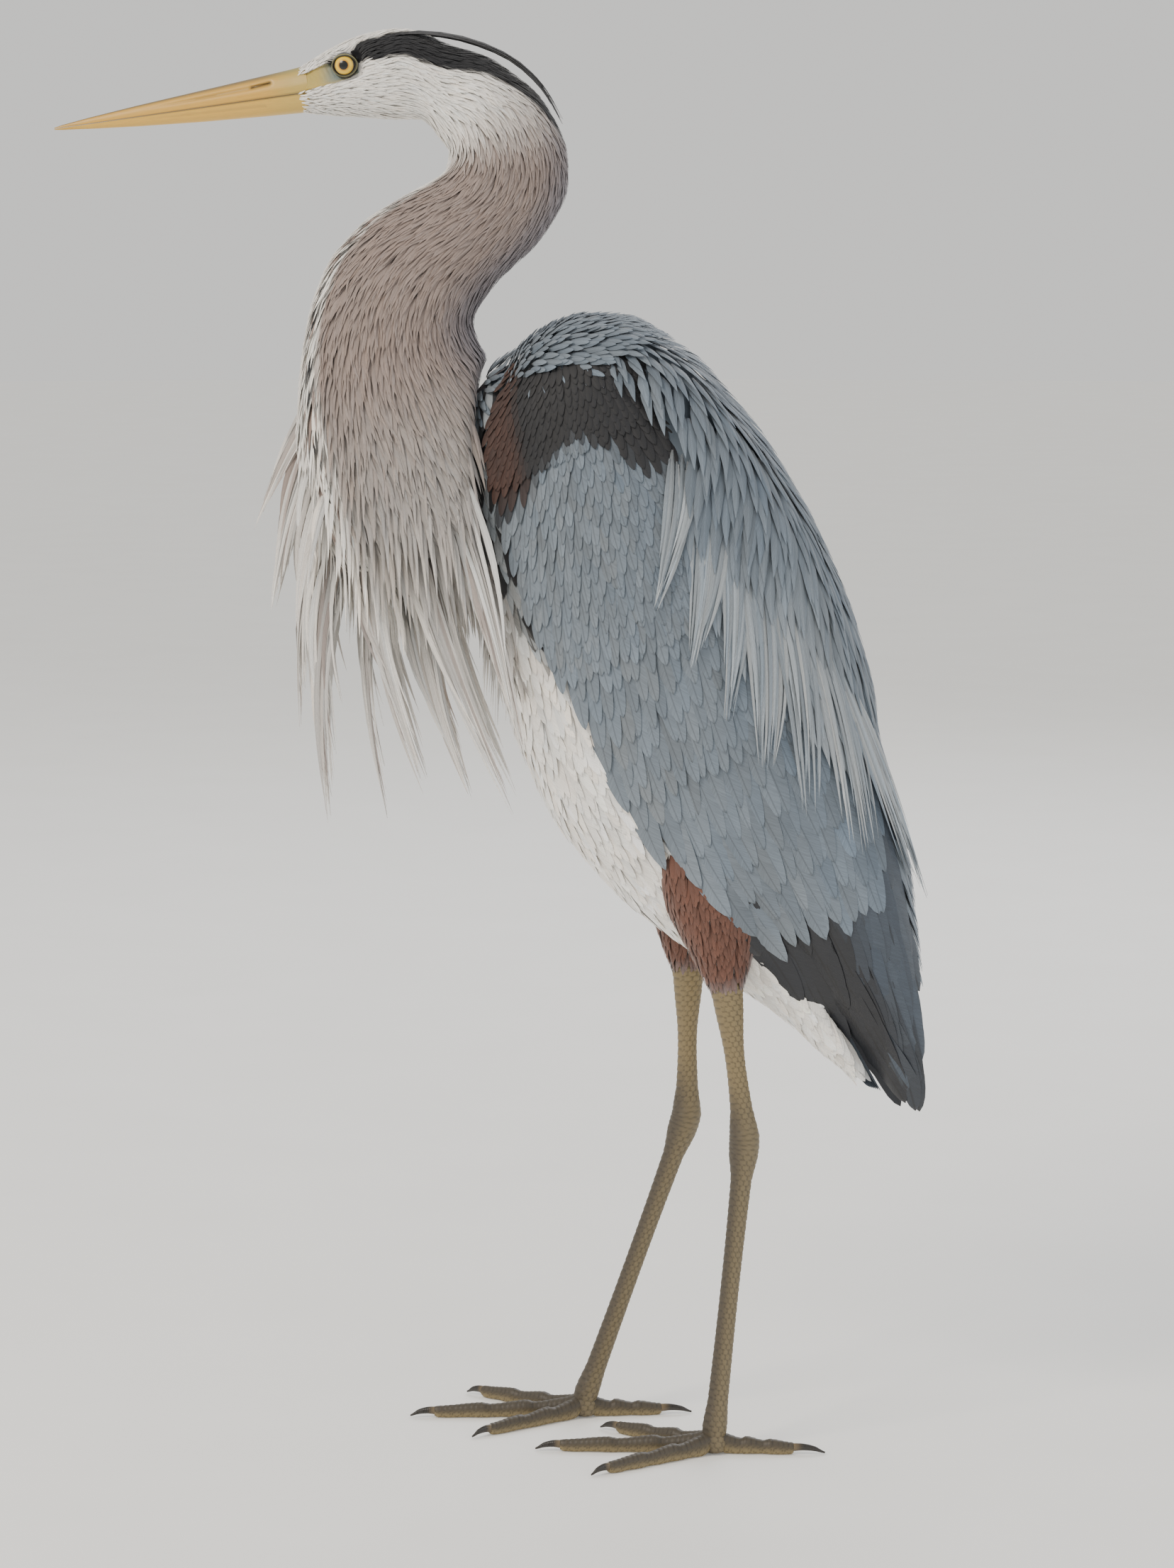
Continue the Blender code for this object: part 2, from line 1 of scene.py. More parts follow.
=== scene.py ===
# %% [markdown]
# # A great blue heron at life size
# The solid model gives the bird's true form, out to the tips of its feathers. This lesson dresses it the
# way a bird is dressed: one skin lies under everything, a coat of separate feathers grows from it, and horn,
# eyes and scaly legs are pieces of their own. All of it starts from the solid model, which stays fixed.

# %% Load the solid model
import math

import bpy
import numpy as np
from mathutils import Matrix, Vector
from mathutils.bvhtree import BVHTree
from mathutils.kdtree import KDTree


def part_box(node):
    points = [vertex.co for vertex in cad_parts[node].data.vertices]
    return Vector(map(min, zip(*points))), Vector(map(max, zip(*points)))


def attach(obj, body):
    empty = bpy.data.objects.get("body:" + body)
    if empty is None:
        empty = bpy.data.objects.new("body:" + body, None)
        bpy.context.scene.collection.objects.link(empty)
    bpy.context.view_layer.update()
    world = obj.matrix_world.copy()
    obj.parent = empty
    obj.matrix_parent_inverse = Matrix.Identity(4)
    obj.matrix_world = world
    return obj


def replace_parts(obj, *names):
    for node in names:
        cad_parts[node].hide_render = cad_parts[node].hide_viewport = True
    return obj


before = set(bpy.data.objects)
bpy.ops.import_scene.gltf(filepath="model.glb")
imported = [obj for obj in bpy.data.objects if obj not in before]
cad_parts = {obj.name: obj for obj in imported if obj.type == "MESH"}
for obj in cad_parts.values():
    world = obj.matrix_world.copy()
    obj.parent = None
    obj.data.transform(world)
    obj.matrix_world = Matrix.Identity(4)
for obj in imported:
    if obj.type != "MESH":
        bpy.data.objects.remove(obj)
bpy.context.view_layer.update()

MM = 0.001  # shapes are worked out in millimetres, and scaled once when a mesh is made
rng = np.random.default_rng(17)

# %% [markdown]
# ## Colour and material helpers
# Feather colours are easiest to read as the hex values of a paint chart. Blender works with linear light, so
# one function turns them. A material is a small graph of nodes, and short functions add the kinds of node
# that are needed often. One more puts whatever is made into the scene.

# %% Paint-chart colours, nodes, and objects in the scene


def paint(code):
    """An sRGB hex value as linear red, green and blue."""
    channels = np.array([int(code[i : i + 2], 16) for i in (1, 3, 5)]) / 255
    return np.where(channels <= 0.04045, channels / 12.92, ((channels + 0.055) / 1.055) ** 2.4)


def node(tree, kind, settings=(), links=(), **values):
    """A new node of a kind, with its settings, its input values and the sockets linked into it."""
    new = tree.nodes.new("ShaderNode" + kind)
    for name, value in dict(settings).items():
        setattr(new, name, value)
    for name, value in values.items():
        new.inputs[int(name[1:]) if name[1:].isdigit() else name.replace("_", " ")].default_value = value
    for name, socket in dict(links).items():
        tree.links.new(socket, new.inputs[name])
    return new


def placed(name, data):
    """An object of the scene that holds a mesh, a lamp or a camera."""
    new = bpy.data.objects.new(name, data)
    bpy.context.scene.collection.objects.link(new)
    return new


def new_material(name, **values):
    """A material with one Principled shader, its tree and that shader."""
    made = bpy.data.materials.new(name)
    made.use_nodes = True
    tree = made.node_tree
    shader = tree.nodes["Principled BSDF"]
    for socket, value in values.items():
        shader.inputs[socket.replace("_", " ")].default_value = value
    return made, tree, shader


def reckoned(tree, operation, links, **values):
    """The result of a math node, whose inputs are linked by their numbers."""
    return node(tree, "Math", {"operation": operation}, links, **values).outputs[0]


def ranged(tree, value, low, high, to_low, to_high):
    """A value whose range from low to high is stretched onto another range."""
    return node(tree, "MapRange", (), {"Value": value},
                _1=low, _2=high, _3=to_low, _4=to_high).outputs[0]


def scaled(tree, colour, factor):
    """A colour made lighter or darker by a factor."""
    links = {"Vector": colour, "Scale": factor}
    return node(tree, "VectorMath", {"operation": "SCALE"}, links).outputs[0]


def stored(tree, kind, name):
    """What a mesh carries under a name: its points' colours or one of its maps."""
    if kind == "colour":
        return node(tree, "VertexColor", {"layer_name": name}).outputs["Color"]
    return node(tree, "UVMap", {"uv_map": name}).outputs["UV"]


def bumped(tree, shader, height, strength, depth, **settings):
    """Raises a surface by a height, of a depth in metres."""
    bump = node(tree, "Bump", settings, {"Height": height}, Strength=strength, Distance=depth)
    tree.links.new(bump.outputs["Normal"], shader.inputs["Normal"])


# %% [markdown]
# ## Floor, light and camera
# A museum model is shown on a plain pale floor in soft light. Three large lamps go round the bird, so that no
# side is left dark, and the sky adds more from everywhere. The floor glows a little, so that far away, where
# no lamp reaches, it is as pale as the sky and no horizon shows. The camera stands a few steps away, a little
# above the bird's belly, with a long lens, so that the bill and the tail keep their true proportions.

# %% Stage
PICTURE_HEIGHT = 0.960  # metres of the bird's own plane that the picture shows from top to bottom
LOOKED_AT = Vector((0.0524, 0.0, 0.410))
LIT_AT = LOOKED_AT + Vector((0, 0, 0.1))
CAMERA_RISE = math.radians(8)
LENS, SENSOR = 100.0, 36.0

floor_paint, tree, shader = new_material("matt floor paint", Roughness=0.8, Specular_IOR_Level=0.2,
                                         Emission_Color=(*paint("#f1f0ed"), 1), Emission_Strength=0.16)
speckle = node(tree, "TexNoise", Scale=220.0, Detail=3.0)
tint = node(tree, "Mix", {"data_type": "RGBA"}, {"Factor": speckle.outputs["Fac"]},
            _6=(*paint("#e9e8e4"), 1), _7=(*paint("#f0efec"), 1))
tree.links.new(tint.outputs["Result"], shader.inputs["Base Color"])
bpy.ops.mesh.primitive_circle_add(vertices=96, radius=14, fill_type="NGON", location=(0, 0, -0.0004))
floor = bpy.context.object
floor.name = "floor"
floor.data.materials.append(floor_paint)

world = bpy.data.worlds.new("pale studio")
world.use_nodes = True
world.node_tree.nodes["Background"].inputs["Color"].default_value = (*paint("#f1f0ed"), 1)
world.node_tree.nodes["Background"].inputs["Strength"].default_value = 0.95
bpy.context.scene.world = world

LAMPS = {  # name: place, width in metres, watts, colour
    "key": ((-1.7, -1.7, 2.5), 1.1, 58, "#fff4e6"),
    "fill": ((2.3, -1.5, 1.5), 1.8, 10, "#eef4ff"),
    "back": ((0.9, 2.3, 2.2), 1.6, 34, "#f4f7ff"),
}
for name, (place, width, watts, colour) in LAMPS.items():
    lamp = bpy.data.lights.new(name, "AREA")
    lamp.size, lamp.energy, lamp.color = width, watts, paint(colour)
    holder = placed(name, lamp)
    holder.location = place
    holder.rotation_euler = (LIT_AT - Vector(place)).to_track_quat("-Z", "Y").to_euler()

camera = placed("camera", bpy.data.cameras.new("camera"))
camera.data.lens, camera.data.sensor_width = LENS, SENSOR
away = PICTURE_HEIGHT * LENS / SENSOR
camera.location = LOOKED_AT + away * Vector((0, -math.cos(CAMERA_RISE), math.sin(CAMERA_RISE)))
camera.rotation_euler = (LOOKED_AT - camera.location).to_track_quat("-Z", "Y").to_euler()
bpy.context.scene.camera = camera
print(f"the camera stands {away:.2f} m away")

# %% [markdown]
# ## Two rulers: one for the head, one for the body
# Every place below is given along the bird itself. On the head it is the distance behind the bill's base and
# above the mouth line. On the body it is the distance down the long axis, which slopes steeply because a
# resting heron stands upright, and the distance from that axis towards the back. Both start from the solids.

# %% The head's ruler and the body's ruler, in millimetres
HEAD_PITCH = math.radians(8)
BODY_TILT = math.radians(63)
EYE_BACK, EYE_UP = 33.0, 12.5
rearward = np.array([math.cos(HEAD_PITCH), 0, math.sin(HEAD_PITCH)])
upward = np.array([-math.sin(HEAD_PITCH), 0, math.cos(HEAD_PITCH)])
eye_low, eye_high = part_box("eye_left")
eye_middle = np.array((eye_low + eye_high) / 2) / MM
head_base = (eye_middle - EYE_BACK * rearward - EYE_UP * upward) * (1, 0, 1)
down_axis = np.array([math.cos(BODY_TILT), 0, -math.sin(BODY_TILT)])
to_back = np.array([math.sin(BODY_TILT), 0, math.cos(BODY_TILT)])
shoulder_point = head_base + (141, 0, -172)
LEFT = np.array([0.0, -1.0, 0.0])  # the side that faces the camera


def head_at(behind, up, out=0.0):
    """Points on the head: behind the bill's base, above the mouth line and out to the bird's left."""
    return (head_base + np.multiply.outer(behind, rearward) + np.multiply.outer(up, upward)
            + np.multiply.outer(out, LEFT))


def body_at(along, back, out=0.0):
    """Points on the body: down its axis, towards its back and out to the bird's left."""
    return (shoulder_point + np.multiply.outer(along, down_axis) + np.multiply.outer(back, to_back)
            + np.multiply.outer(out, LEFT))


def head_place(points):
    """Distances behind the bill's base and above the mouth line."""
    offset = points - head_base
    return offset @ rearward, offset @ upward


def body_place(points):
    """Distances down the body's axis and towards its back."""
    offset = points - shoulder_point
    return offset @ down_axis, offset @ to_back


WING_EDGES = [  # down the axis, lower edge, upper edge of the folded wing
    (-26, 6, 40), (-16, -8, 62), (10, -34, 84), (55, -52, 99), (110, -62, 106), (170, -64, 107),
    (235, -62, 101), (300, -50, 90), (360, -29, 76), (415, -13, 60), (460, -4, 43), (492, 2, 28),
    (508, 7, 17),
]
EDGE_RUN, LOW_EDGE, HIGH_EDGE = zip(*WING_EDGES)


def low_edge(run):
    """The folded wing's lower edge, down the axis."""
    return np.interp(run, EDGE_RUN, LOW_EDGE)


def high_edge(run):
    """The folded wing's upper edge, down the axis."""
    return np.interp(run, EDGE_RUN, HIGH_EDGE)


print("bill base at", head_base.round(1), "shoulders at", shoulder_point.round(1))

# %% [markdown]
# ## Reading the solids as smooth sheets
# Feathers need to know where the surface is and which way it runs. The solids of flesh are first fused into
# one, then rays are cast from a centre line, ring by ring. What comes back is a sheet of points with two
# directions, along and around. Anything can then be placed on it, and followed along it, by simple lookups.

# %% Fuse solids, and wrap them with rings


def fused(names, voxel):
    """The named solids melted into one closed mesh, as points in millimetres and faces."""
    meshes = [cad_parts[name].data for name in names]
    return remeshed([(np.array([v.co[:] for v in mesh.vertices]) / MM, [p.vertices for p in mesh.polygons])
                     for mesh in meshes], voxel)


def remeshed(parts, voxel):
    """Closed meshes that overlap, melted into one by Blender's voxel remesher."""
    points, faces = np.concatenate([points for points, _ in parts]), []
    starts = np.cumsum([0] + [len(points) for points, _ in parts])
    for start, (_, part_faces) in zip(starts.tolist(), parts):
        faces += [[start + corner for corner in face] for face in part_faces]
    mesh = bpy.data.meshes.new("melt")
    mesh.from_pydata(points * MM, [], faces)
    block = placed("melt", mesh)
    melt = block.modifiers.new("melt", "REMESH")
    melt.mode, melt.voxel_size = "VOXEL", voxel * MM
    result = block.evaluated_get(bpy.context.evaluated_depsgraph_get()).to_mesh()
    out_points = np.empty(len(result.vertices) * 3, np.float32)
    result.vertices.foreach_get("co", out_points)
    out_faces = np.empty(len(result.polygons) * 4, np.int32)
    result.polygons.foreach_get("vertices", out_faces)
    bpy.data.objects.remove(block)
    bpy.data.meshes.remove(mesh)
    return out_points.reshape(-1, 3).astype(float) / MM, out_faces.reshape(-1, 4)


def tree_of(points, faces):
    """A search tree of a surface, which rays can be cast at."""
    return BVHTree.FromPolygons([tuple(p) for p in points], [tuple(map(int, f)) for f in faces])


def eased(rows, at):
    """Rows of numbers read at fractional row numbers, on a smooth curve through them."""
    rows = np.asarray(rows, float)
    at = np.asarray(at, float)
    i = np.clip(at.astype(int), 0, len(rows) - 2)
    t = (at - i)[..., None]
    before, here, after, later = (rows[np.clip(i + k, 0, len(rows) - 1)] for k in (-1, 0, 1, 2))
    slope, next_slope = (after - before) / 2, (later - here) / 2
    return ((2 * t**3 - 3 * t**2 + 1) * here + (t**3 - 2 * t**2 + t) * slope
            + (3 * t**2 - 2 * t**3) * after + (t**3 - t**2) * next_slope)


def sized(table, shares):
    """A table of sizes whose first column is a share of a length, read smoothly at any shares."""
    return eased([row[1:] for row in table], np.interp(shares, [row[0] for row in table], range(len(table))))


def softened(values, times, wraps=True):
    """Values on a sheet, averaged with their neighbours some times."""
    for _ in range(times):
        padded = np.concatenate([values[:1], values, values[-1:]])
        values = (padded[:-2] + 2 * values + padded[2:]) / 4
        if wraps:
            values = (np.roll(values, 1, 1) + 2 * values + np.roll(values, -1, 1)) / 4
    return values


def once_round(count):
    """Evenly spaced angles once round."""
    return np.linspace(0, math.tau, count, endpoint=False)


def unit(vectors):
    """The same directions, each one long."""
    return vectors / np.maximum(np.linalg.norm(vectors, axis=-1, keepdims=True), 1e-9)


def sheet_of(points, outward):
    """A sheet: its points, its outward normals, and how far one step along and one step around goes."""
    along = np.gradient(points, axis=0)
    around = (np.roll(points, -1, 1) - np.roll(points, 1, 1)) / 2
    normals = unit(np.cross(along, around))
    flip = np.sign((normals * outward).sum(-1).mean())
    return {"points": points, "normals": softened(normals * flip, 2), "along": along, "around": around}


def cast(tree, centres, rays, from_inside, reach, smooth):
    """The sheet that rays from the rings' centres find on a solid."""
    lengths = np.full(rays.shape[:2], np.nan)
    for ring, centre in enumerate(centres):
        for side, ray in enumerate(rays[ring]):
            ray = Vector(ray)
            start = Vector(centre) + (Vector() if from_inside else ray * reach)
            hit = tree.ray_cast(start, ray if from_inside else -ray, reach)[0]
            if hit is not None:
                lengths[ring, side] = (hit - Vector(centre)).length
    for _ in range(40):  # close what a ray missed from its neighbours
        gaps = np.isnan(lengths)
        if not gaps.any():
            break
        near = [np.roll(lengths, k, 1) for k in (-1, 1)]
        near += [np.vstack([lengths[1:], lengths[-1:]]), np.vstack([lengths[:1], lengths[:-1]])]
        lengths = np.where(gaps, np.nanmean(np.where(np.isnan(near).all(0), 30.0, near), axis=0), lengths)
    around = np.stack([np.roll(lengths, k, 1) for k in (-2, -1, 0, 1, 2)])
    lengths = softened(np.median(around, 0), smooth)
    return sheet_of(centres[:, None] + rays * lengths[..., None], rays)


def wrapped(tree, backs, fronts, sides, from_inside, reach, smooth=4):
    """A sheet round a solid. Each ring lies between a point on its back and one on its front; side 0 is the
    back, a quarter of the way round is the bird's left, and half way round is the front."""
    angles = np.arange(sides) * math.tau / sides
    rays = np.cos(angles)[:, None] * unit(backs - fronts)[:, None] + np.sin(angles)[:, None] * LEFT
    return cast(tree, (backs + fronts) / 2, rays, from_inside, reach, smooth)


def look(field, along, around):
    """A sheet's values read between its points; along is a ring number, around a side number."""
    rings, sides = field.shape[:2]
    along = np.clip(along, 0, rings - 1.001)
    i, j = along.astype(int), np.floor(around).astype(int)
    s, t = (along - i)[..., None], (around - j)[..., None]
    a, b = j % sides, (j + 1) % sides
    return ((1 - s) * (1 - t) * field[i, a] + (1 - s) * t * field[i, b]
            + s * (1 - t) * field[i + 1, a] + s * t * field[i + 1, b])


# %% The head and neck as one sheet, from the bill's base to the breast
HEAD_SPAN = [  # behind the bill's base, then above the mouth line at the crown and at the throat
    (1, 13, -11), (12, 19, -14.3), (24, 24.3, -17.2), (38, 29, -20), (54, 31.5, -23.5), (70, 30.5, -26),
]
NECK_SPAN = [  # x and z on the nape's side, then on the throat's side
    (-35, 859, -33, 798), (-1, 849, -31, 791), (30, 822, -32, 785), (45, 787, -36, 779),
    (40, 757, -45, 773), (22, 735, -62, 765), (2, 717, -85, 750), (-11, 704, -103, 729),
    (-16, 688, -116, 700), (-12, 676, -122, 668), (-1, 667, -125, 636), (19, 648, -124, 602),
    (33, 622, -115, 570), (39, 592, -97, 536), (41, 560, -71, 504), (37, 528, -39, 478),
]
FLESH = ["head", "neck_upper", "neck_middle", "neck_lower", "trunk", "tail"] + [
    f"{part}_{side}" for part in ("wing_coverts", "wing_flight_feathers", "scapulars", "thigh")
    for side in ("left", "right")]
RING_STEPS, SIDES = 7, 80

napes = [head_at(b, up) for b, up, _ in HEAD_SPAN] + [np.array([x, 0, z]) for x, z, _, _ in NECK_SPAN]
throats = [head_at(b, low) for b, _, low in HEAD_SPAN] + [np.array([x, 0, z]) for _, _, x, z in NECK_SPAN]
row_numbers = np.linspace(0, len(napes) - 1, (len(napes) - 1) * RING_STEPS + 1)
head_and_neck = tree_of(*fused([n for n in FLESH if n.startswith(("head", "neck"))], 2.0))
neck_sheet = wrapped(head_and_neck, eased(napes, row_numbers), eased(throats, row_numbers), SIDES, True, 90.0)
print("head and neck sheet", neck_sheet["points"].shape)

# %% The body's outer hull with its folded wings, and the trunk alone
HULL_SIDES, TRUNK_SIDES = 96, 72
BODY_REACH = 190.0  # rays that come in from outside start this far from the middle
MELT = 2.5  # the size of the remesher's cubes

hull_along = np.linspace(-20, 470, 99)
backs, fronts = (body_at(hull_along, np.full(len(hull_along), back)) for back in (60.0, -40.0))
body_tree = tree_of(*fused([n for n in FLESH if n.startswith(("trunk", "wing", "scapulars"))], MELT))
hull_sheet = wrapped(body_tree, backs, fronts, HULL_SIDES, False, BODY_REACH, smooth=5)
trunk_along = np.linspace(-14, 472, 98)
middle = np.interp(trunk_along, [300, 385, 472], [3, -16, -11])
backs, fronts = (body_at(trunk_along, middle + half) for half in (43, -43))
trunk_tree = tree_of(*fused(["trunk", "tail"], MELT))
trunk_sheet = wrapped(trunk_tree, backs, fronts, TRUNK_SIDES, False, BODY_REACH)
print("hull sheet", hull_sheet["points"].shape, "trunk sheet", trunk_sheet["points"].shape)

# %% [markdown]
# The rings can't see the front of the shoulders, which faces along the axis. There the rays fan out instead
# from one point inside, round the place where the neck leaves the body.

# %% The shoulders' front, as a dome
DOME_FRONT, DOME_TOP = np.array([-0.96, 0, 0.28]), np.array([0.28, 0, 0.96])
DOME_RIBS = 72
fan = np.radians(np.linspace(8, 130, 36))[:, None, None]
ribs = (np.arange(DOME_RIBS) * math.tau / DOME_RIBS)[:, None]
rays = np.cos(fan) * DOME_FRONT + np.sin(fan) * (np.cos(ribs) * DOME_TOP + np.sin(ribs) * LEFT)
dome_sheet = cast(body_tree, np.repeat(body_at([34.0], [22.0]), len(fan), 0), rays, False, BODY_REACH, 2)
print("dome sheet", dome_sheet["points"].shape)

# %% [markdown]
# The wing is nearly flat, so it is read as a height field instead: rays come in from the side on an even grid
# of the body's ruler. The flank and the thigh count too, because the wing's feathers lie over them. Beyond
# the edges the field runs on smoothly, for the tips that overhang them.

# %% The outer face of each folded wing, as a sheet in the left wing's place
WING_STEP = 4.0
OVER_FLANK = 4.5  # how far the wing's feathers clear the flank and the thigh, for the coat in between
WING_ALONG, WING_BACK = np.arange(-32, 520, WING_STEP), np.arange(-92, 118, WING_STEP)
WING_REACH = 150.0
FALL = 1.2  # how much the field falls with each step beyond the edges


def wing_face(side, outward):
    """How far out one wing's face lies, as a sheet that is mirrored to the left side."""
    wing = tree_of(*fused([f"wing_coverts_{side}", f"wing_flight_feathers_{side}"], MELT))
    flank = tree_of(*fused([f"thigh_{side}", "trunk"], MELT))
    out = np.full((len(WING_ALONG), len(WING_BACK)), np.nan)
    for i, along in enumerate(WING_ALONG):
        for j, back in enumerate(WING_BACK):
            start = Vector(body_at(along, back) + WING_REACH * outward)
            for tree, spare in ((wing, 0.0), (flank, OVER_FLANK)):
                hit = tree.ray_cast(start, Vector(-outward), WING_REACH)[0]
                if hit is not None:
                    out[i, j] = np.fmax(out[i, j], abs(hit.y) + spare)
    while np.isnan(out).any():
        padded = np.pad(out, 1, mode="constant", constant_values=np.nan)
        around = np.stack([padded[:-2, 1:-1], padded[2:, 1:-1], padded[1:-1, :-2], padded[1:-1, 2:]])
        known = ~np.isnan(around)
        mean = np.where(known, around, 0).sum(0) / np.maximum(known.sum(0), 1)
        out = np.where(np.isnan(out) & known.any(0), mean - FALL, out)
    for _ in range(3):
        out = softened(softened(out, 1, False).T, 1, False).T
    places = body_at(*np.meshgrid(WING_ALONG, WING_BACK, indexing="ij"), out)
    face = sheet_of(places, LEFT)
    face["around"] = np.gradient(places, axis=1)
    face["normals"] = unit(np.cross(face["around"], face["along"]))
    if (face["normals"] @ LEFT).mean() < 0:
        face["normals"] *= -1
    return face


wing_sheets = {"left": wing_face("left", LEFT), "right": wing_face("right", -LEFT)}
print("wing sheets", wing_sheets["left"]["points"].shape)

# %% [markdown]
# A thigh is a plain pear shape, and half of it is hidden in the flank, where rays can't find it. Its sheet is
# made from ovals along the bone instead.

# %% The legs: where each joint is, and a sheet round each feathered thigh
LEGS = {  # side: sign of its side, hip, hock and foot, in millimetres
    "left": (1, (121.7, -30, 412), (148.7, -33, 196), (130.7, -40, 11)),
    "right": (-1, (115.7, 30, 414), (114.7, 33, 196), (50.7, 40, 11)),
}
THIGH_SIDES = 36
THIGH_SIZES = [  # share of the way from hip to hock, half width, depth in front, depth behind
    (0.0, 16, 20, 20), (0.16, 25, 34, 36), (0.31, 26, 32, 34), (0.44, 20, 22, 24), (0.54, 12.5, 14, 15),
    (0.60, 7.8, 9.0, 9.6),
]
shares = np.linspace(0.14, 0.575, 34)
half_width, ahead, behind = sized(THIGH_SIZES, shares).T[..., None]
angles = np.arange(THIGH_SIDES) * math.tau / THIGH_SIDES
thigh_sheets = {}
for side, (_, hip, hock, _) in LEGS.items():
    hip, hock = np.array(hip, float), np.array(hock, float)
    rearward_of_leg = unit(np.cross(hip - hock, LEFT))
    rearward_of_leg *= np.sign(rearward_of_leg[0])
    to_rear = np.cos(angles) * np.where(np.cos(angles) > 0, behind, ahead)
    offset = to_rear[..., None] * rearward_of_leg + (np.sin(angles) * half_width)[..., None] * LEFT
    thigh_sheets[side] = sheet_of((hip + shares[:, None] * (hock - hip))[:, None] + offset, offset)
print("thigh sheets", thigh_sheets["left"]["points"].shape)

# %% [markdown]
# ## Placing and growing feathers
# A real feather is a shaft with a flat vane on each side of it, rooted in the skin and lying back over the
# next ones like a roof tile. Three functions do this for thousands at once. One strews roots evenly over a
# sheet, one walks each feather along the surface, and one builds the vanes as thin closed shapes. Working on
# arrays of all the feathers together keeps it quick, where one Blender object per feather would be hopeless.

# %% Strewing roots over a sheet, and walking along it


def crowd_of(points):
    """A search tree of points."""
    crowd = KDTree(len(points))
    for i, point in enumerate(points):
        crowd.insert(point, i)
    crowd.balance()
    return crowd


FINEST_GAP = 1.3  # the smallest spacing on the bird, in millimetres
TRIES = 4  # random places tried for each place that there is room for


def strewn(sheet, spacing, keep):
    """Ring and side numbers of roots that lie at least a spacing apart. The spacing may be a function of the
    ring and side numbers, and keep is a test of them and of the points."""
    area = np.linalg.norm(np.cross(sheet["along"], sheet["around"]), axis=-1)[:-1]
    closest = spacing if np.isscalar(spacing) else FINEST_GAP
    tries = int(area.sum() / closest**2 * TRIES)
    cells = rng.choice(area.size, tries, p=area.ravel() / area.sum())
    along = cells // area.shape[1] + rng.random(tries)
    around = cells % area.shape[1] + rng.random(tries)
    gaps = np.full(tries, spacing) if np.isscalar(spacing) else spacing(along, around)
    points = look(sheet["points"], along, around)
    kept = keep(along, around, points)
    along, around, points, gaps = along[kept], around[kept], points[kept], gaps[kept]
    crowd = crowd_of(points)
    free = np.ones(len(points), bool)
    chosen = []
    for i, point in enumerate(points):
        if free[i]:
            chosen.append(i)
            for _, other, _ in crowd.find_range(point, gaps[i]):
                free[other] = False
    return along[chosen], around[chosen]


def walked(sheet, along, around, length, count, turn=0.0, bend=0.0):
    """Lines that start at the roots and run along the sheet. Turns lead to the back on the left side."""
    along, around = np.array(along, float), np.array(around, float)
    rings = sheet["points"].shape[0]
    shape = (len(along), count, 3)
    points, normals, across = np.empty(shape), np.empty(shape), np.empty(shape)
    stride = (np.zeros(len(along)) + length) / (count - 1)
    for k in range(count):
        here, up = look(sheet["points"], along, around), unit(look(sheet["normals"], along, around))
        a, b = look(sheet["along"], along, around), look(sheet["around"], along, around)
        ahead = unit(a - (a * up).sum(-1, keepdims=True) * up)
        angle = (np.zeros(len(along)) + turn + np.asarray(bend) * k / (count - 1))[:, None]
        forward = np.cos(angle) * ahead + np.sin(angle) * np.cross(up, ahead)
        if k:
            past = (along > rings - 1.001)[:, None]
            here = np.where(past, points[:, k - 1] + stride[:, None] * last_forward, here)
            forward = np.where(past, last_forward, forward)
        points[:, k], normals[:, k], across[:, k] = here, up, np.cross(forward, up)
        last_forward = forward
        aa, ab, bb = (a * a).sum(-1), (a * b).sum(-1), (b * b).sum(-1)
        fa, fb = (forward * a).sum(-1), (forward * b).sum(-1)
        spread = np.maximum(aa * bb - ab**2, 1e-6)
        along = along + stride * (fa * bb - fb * ab) / spread
        around = around + stride * (fb * aa - fa * ab) / spread
    return {"points": points, "up": normals, "across": across, "length": stride * (count - 1),
            "end": (along, around)}


# %% Faces between rings of points, their colours, and lines that hang free


def ring_quads(rows, sides):
    """Corner numbers of the four-sided faces between closed rings of points."""
    k, i = np.meshgrid(np.arange(rows - 1), np.arange(sides), indexing="ij")
    near, far = k * sides, (k + 1) * sides
    return np.stack([near + i, near + (i + 1) % sides, far + (i + 1) % sides, far + i], -1).reshape(-1, 4)


def tube_faces(rows, sides):
    """All faces of a tube of closed rings, with both of its ends."""
    ends = [list(range(sides))[::-1], list(range((rows - 1) * sides, rows * sides))]
    return ring_quads(rows, sides).tolist() + ends


def painted(mesh, name, colours):
    """Gives a mesh's points their colours."""
    rgba = np.concatenate([colours, np.ones((len(colours), 1))], 1)
    layer = mesh.color_attributes.new(name, "FLOAT_COLOR", "POINT")
    layer.data.foreach_set("color", rgba.astype(np.float32).ravel())


def free_lines(points, facing):
    """Lines through given points, whose flat side looks the given way."""
    ahead = unit(np.gradient(points, axis=1))
    up = unit(facing - (ahead * facing).sum(-1, keepdims=True) * ahead)
    lengths = np.linalg.norm(np.diff(points, axis=1), axis=-1).sum(1)
    return {"points": points, "up": up, "across": np.cross(ahead, up), "length": lengths}


# %% Building vanes
OUTLINES = {  # where along its length a vane starts to narrow, how it bows, and how blunt it ends
    "contour": (0.42, 2.0, 0.62), "lance": (0.25, 1.3, 0.9), "flight": (0.70, 2.2, 0.62),
}
PATCH = 0.003  # how large each feather is on the map of the skin
coat = {}  # how many triangles each piece has


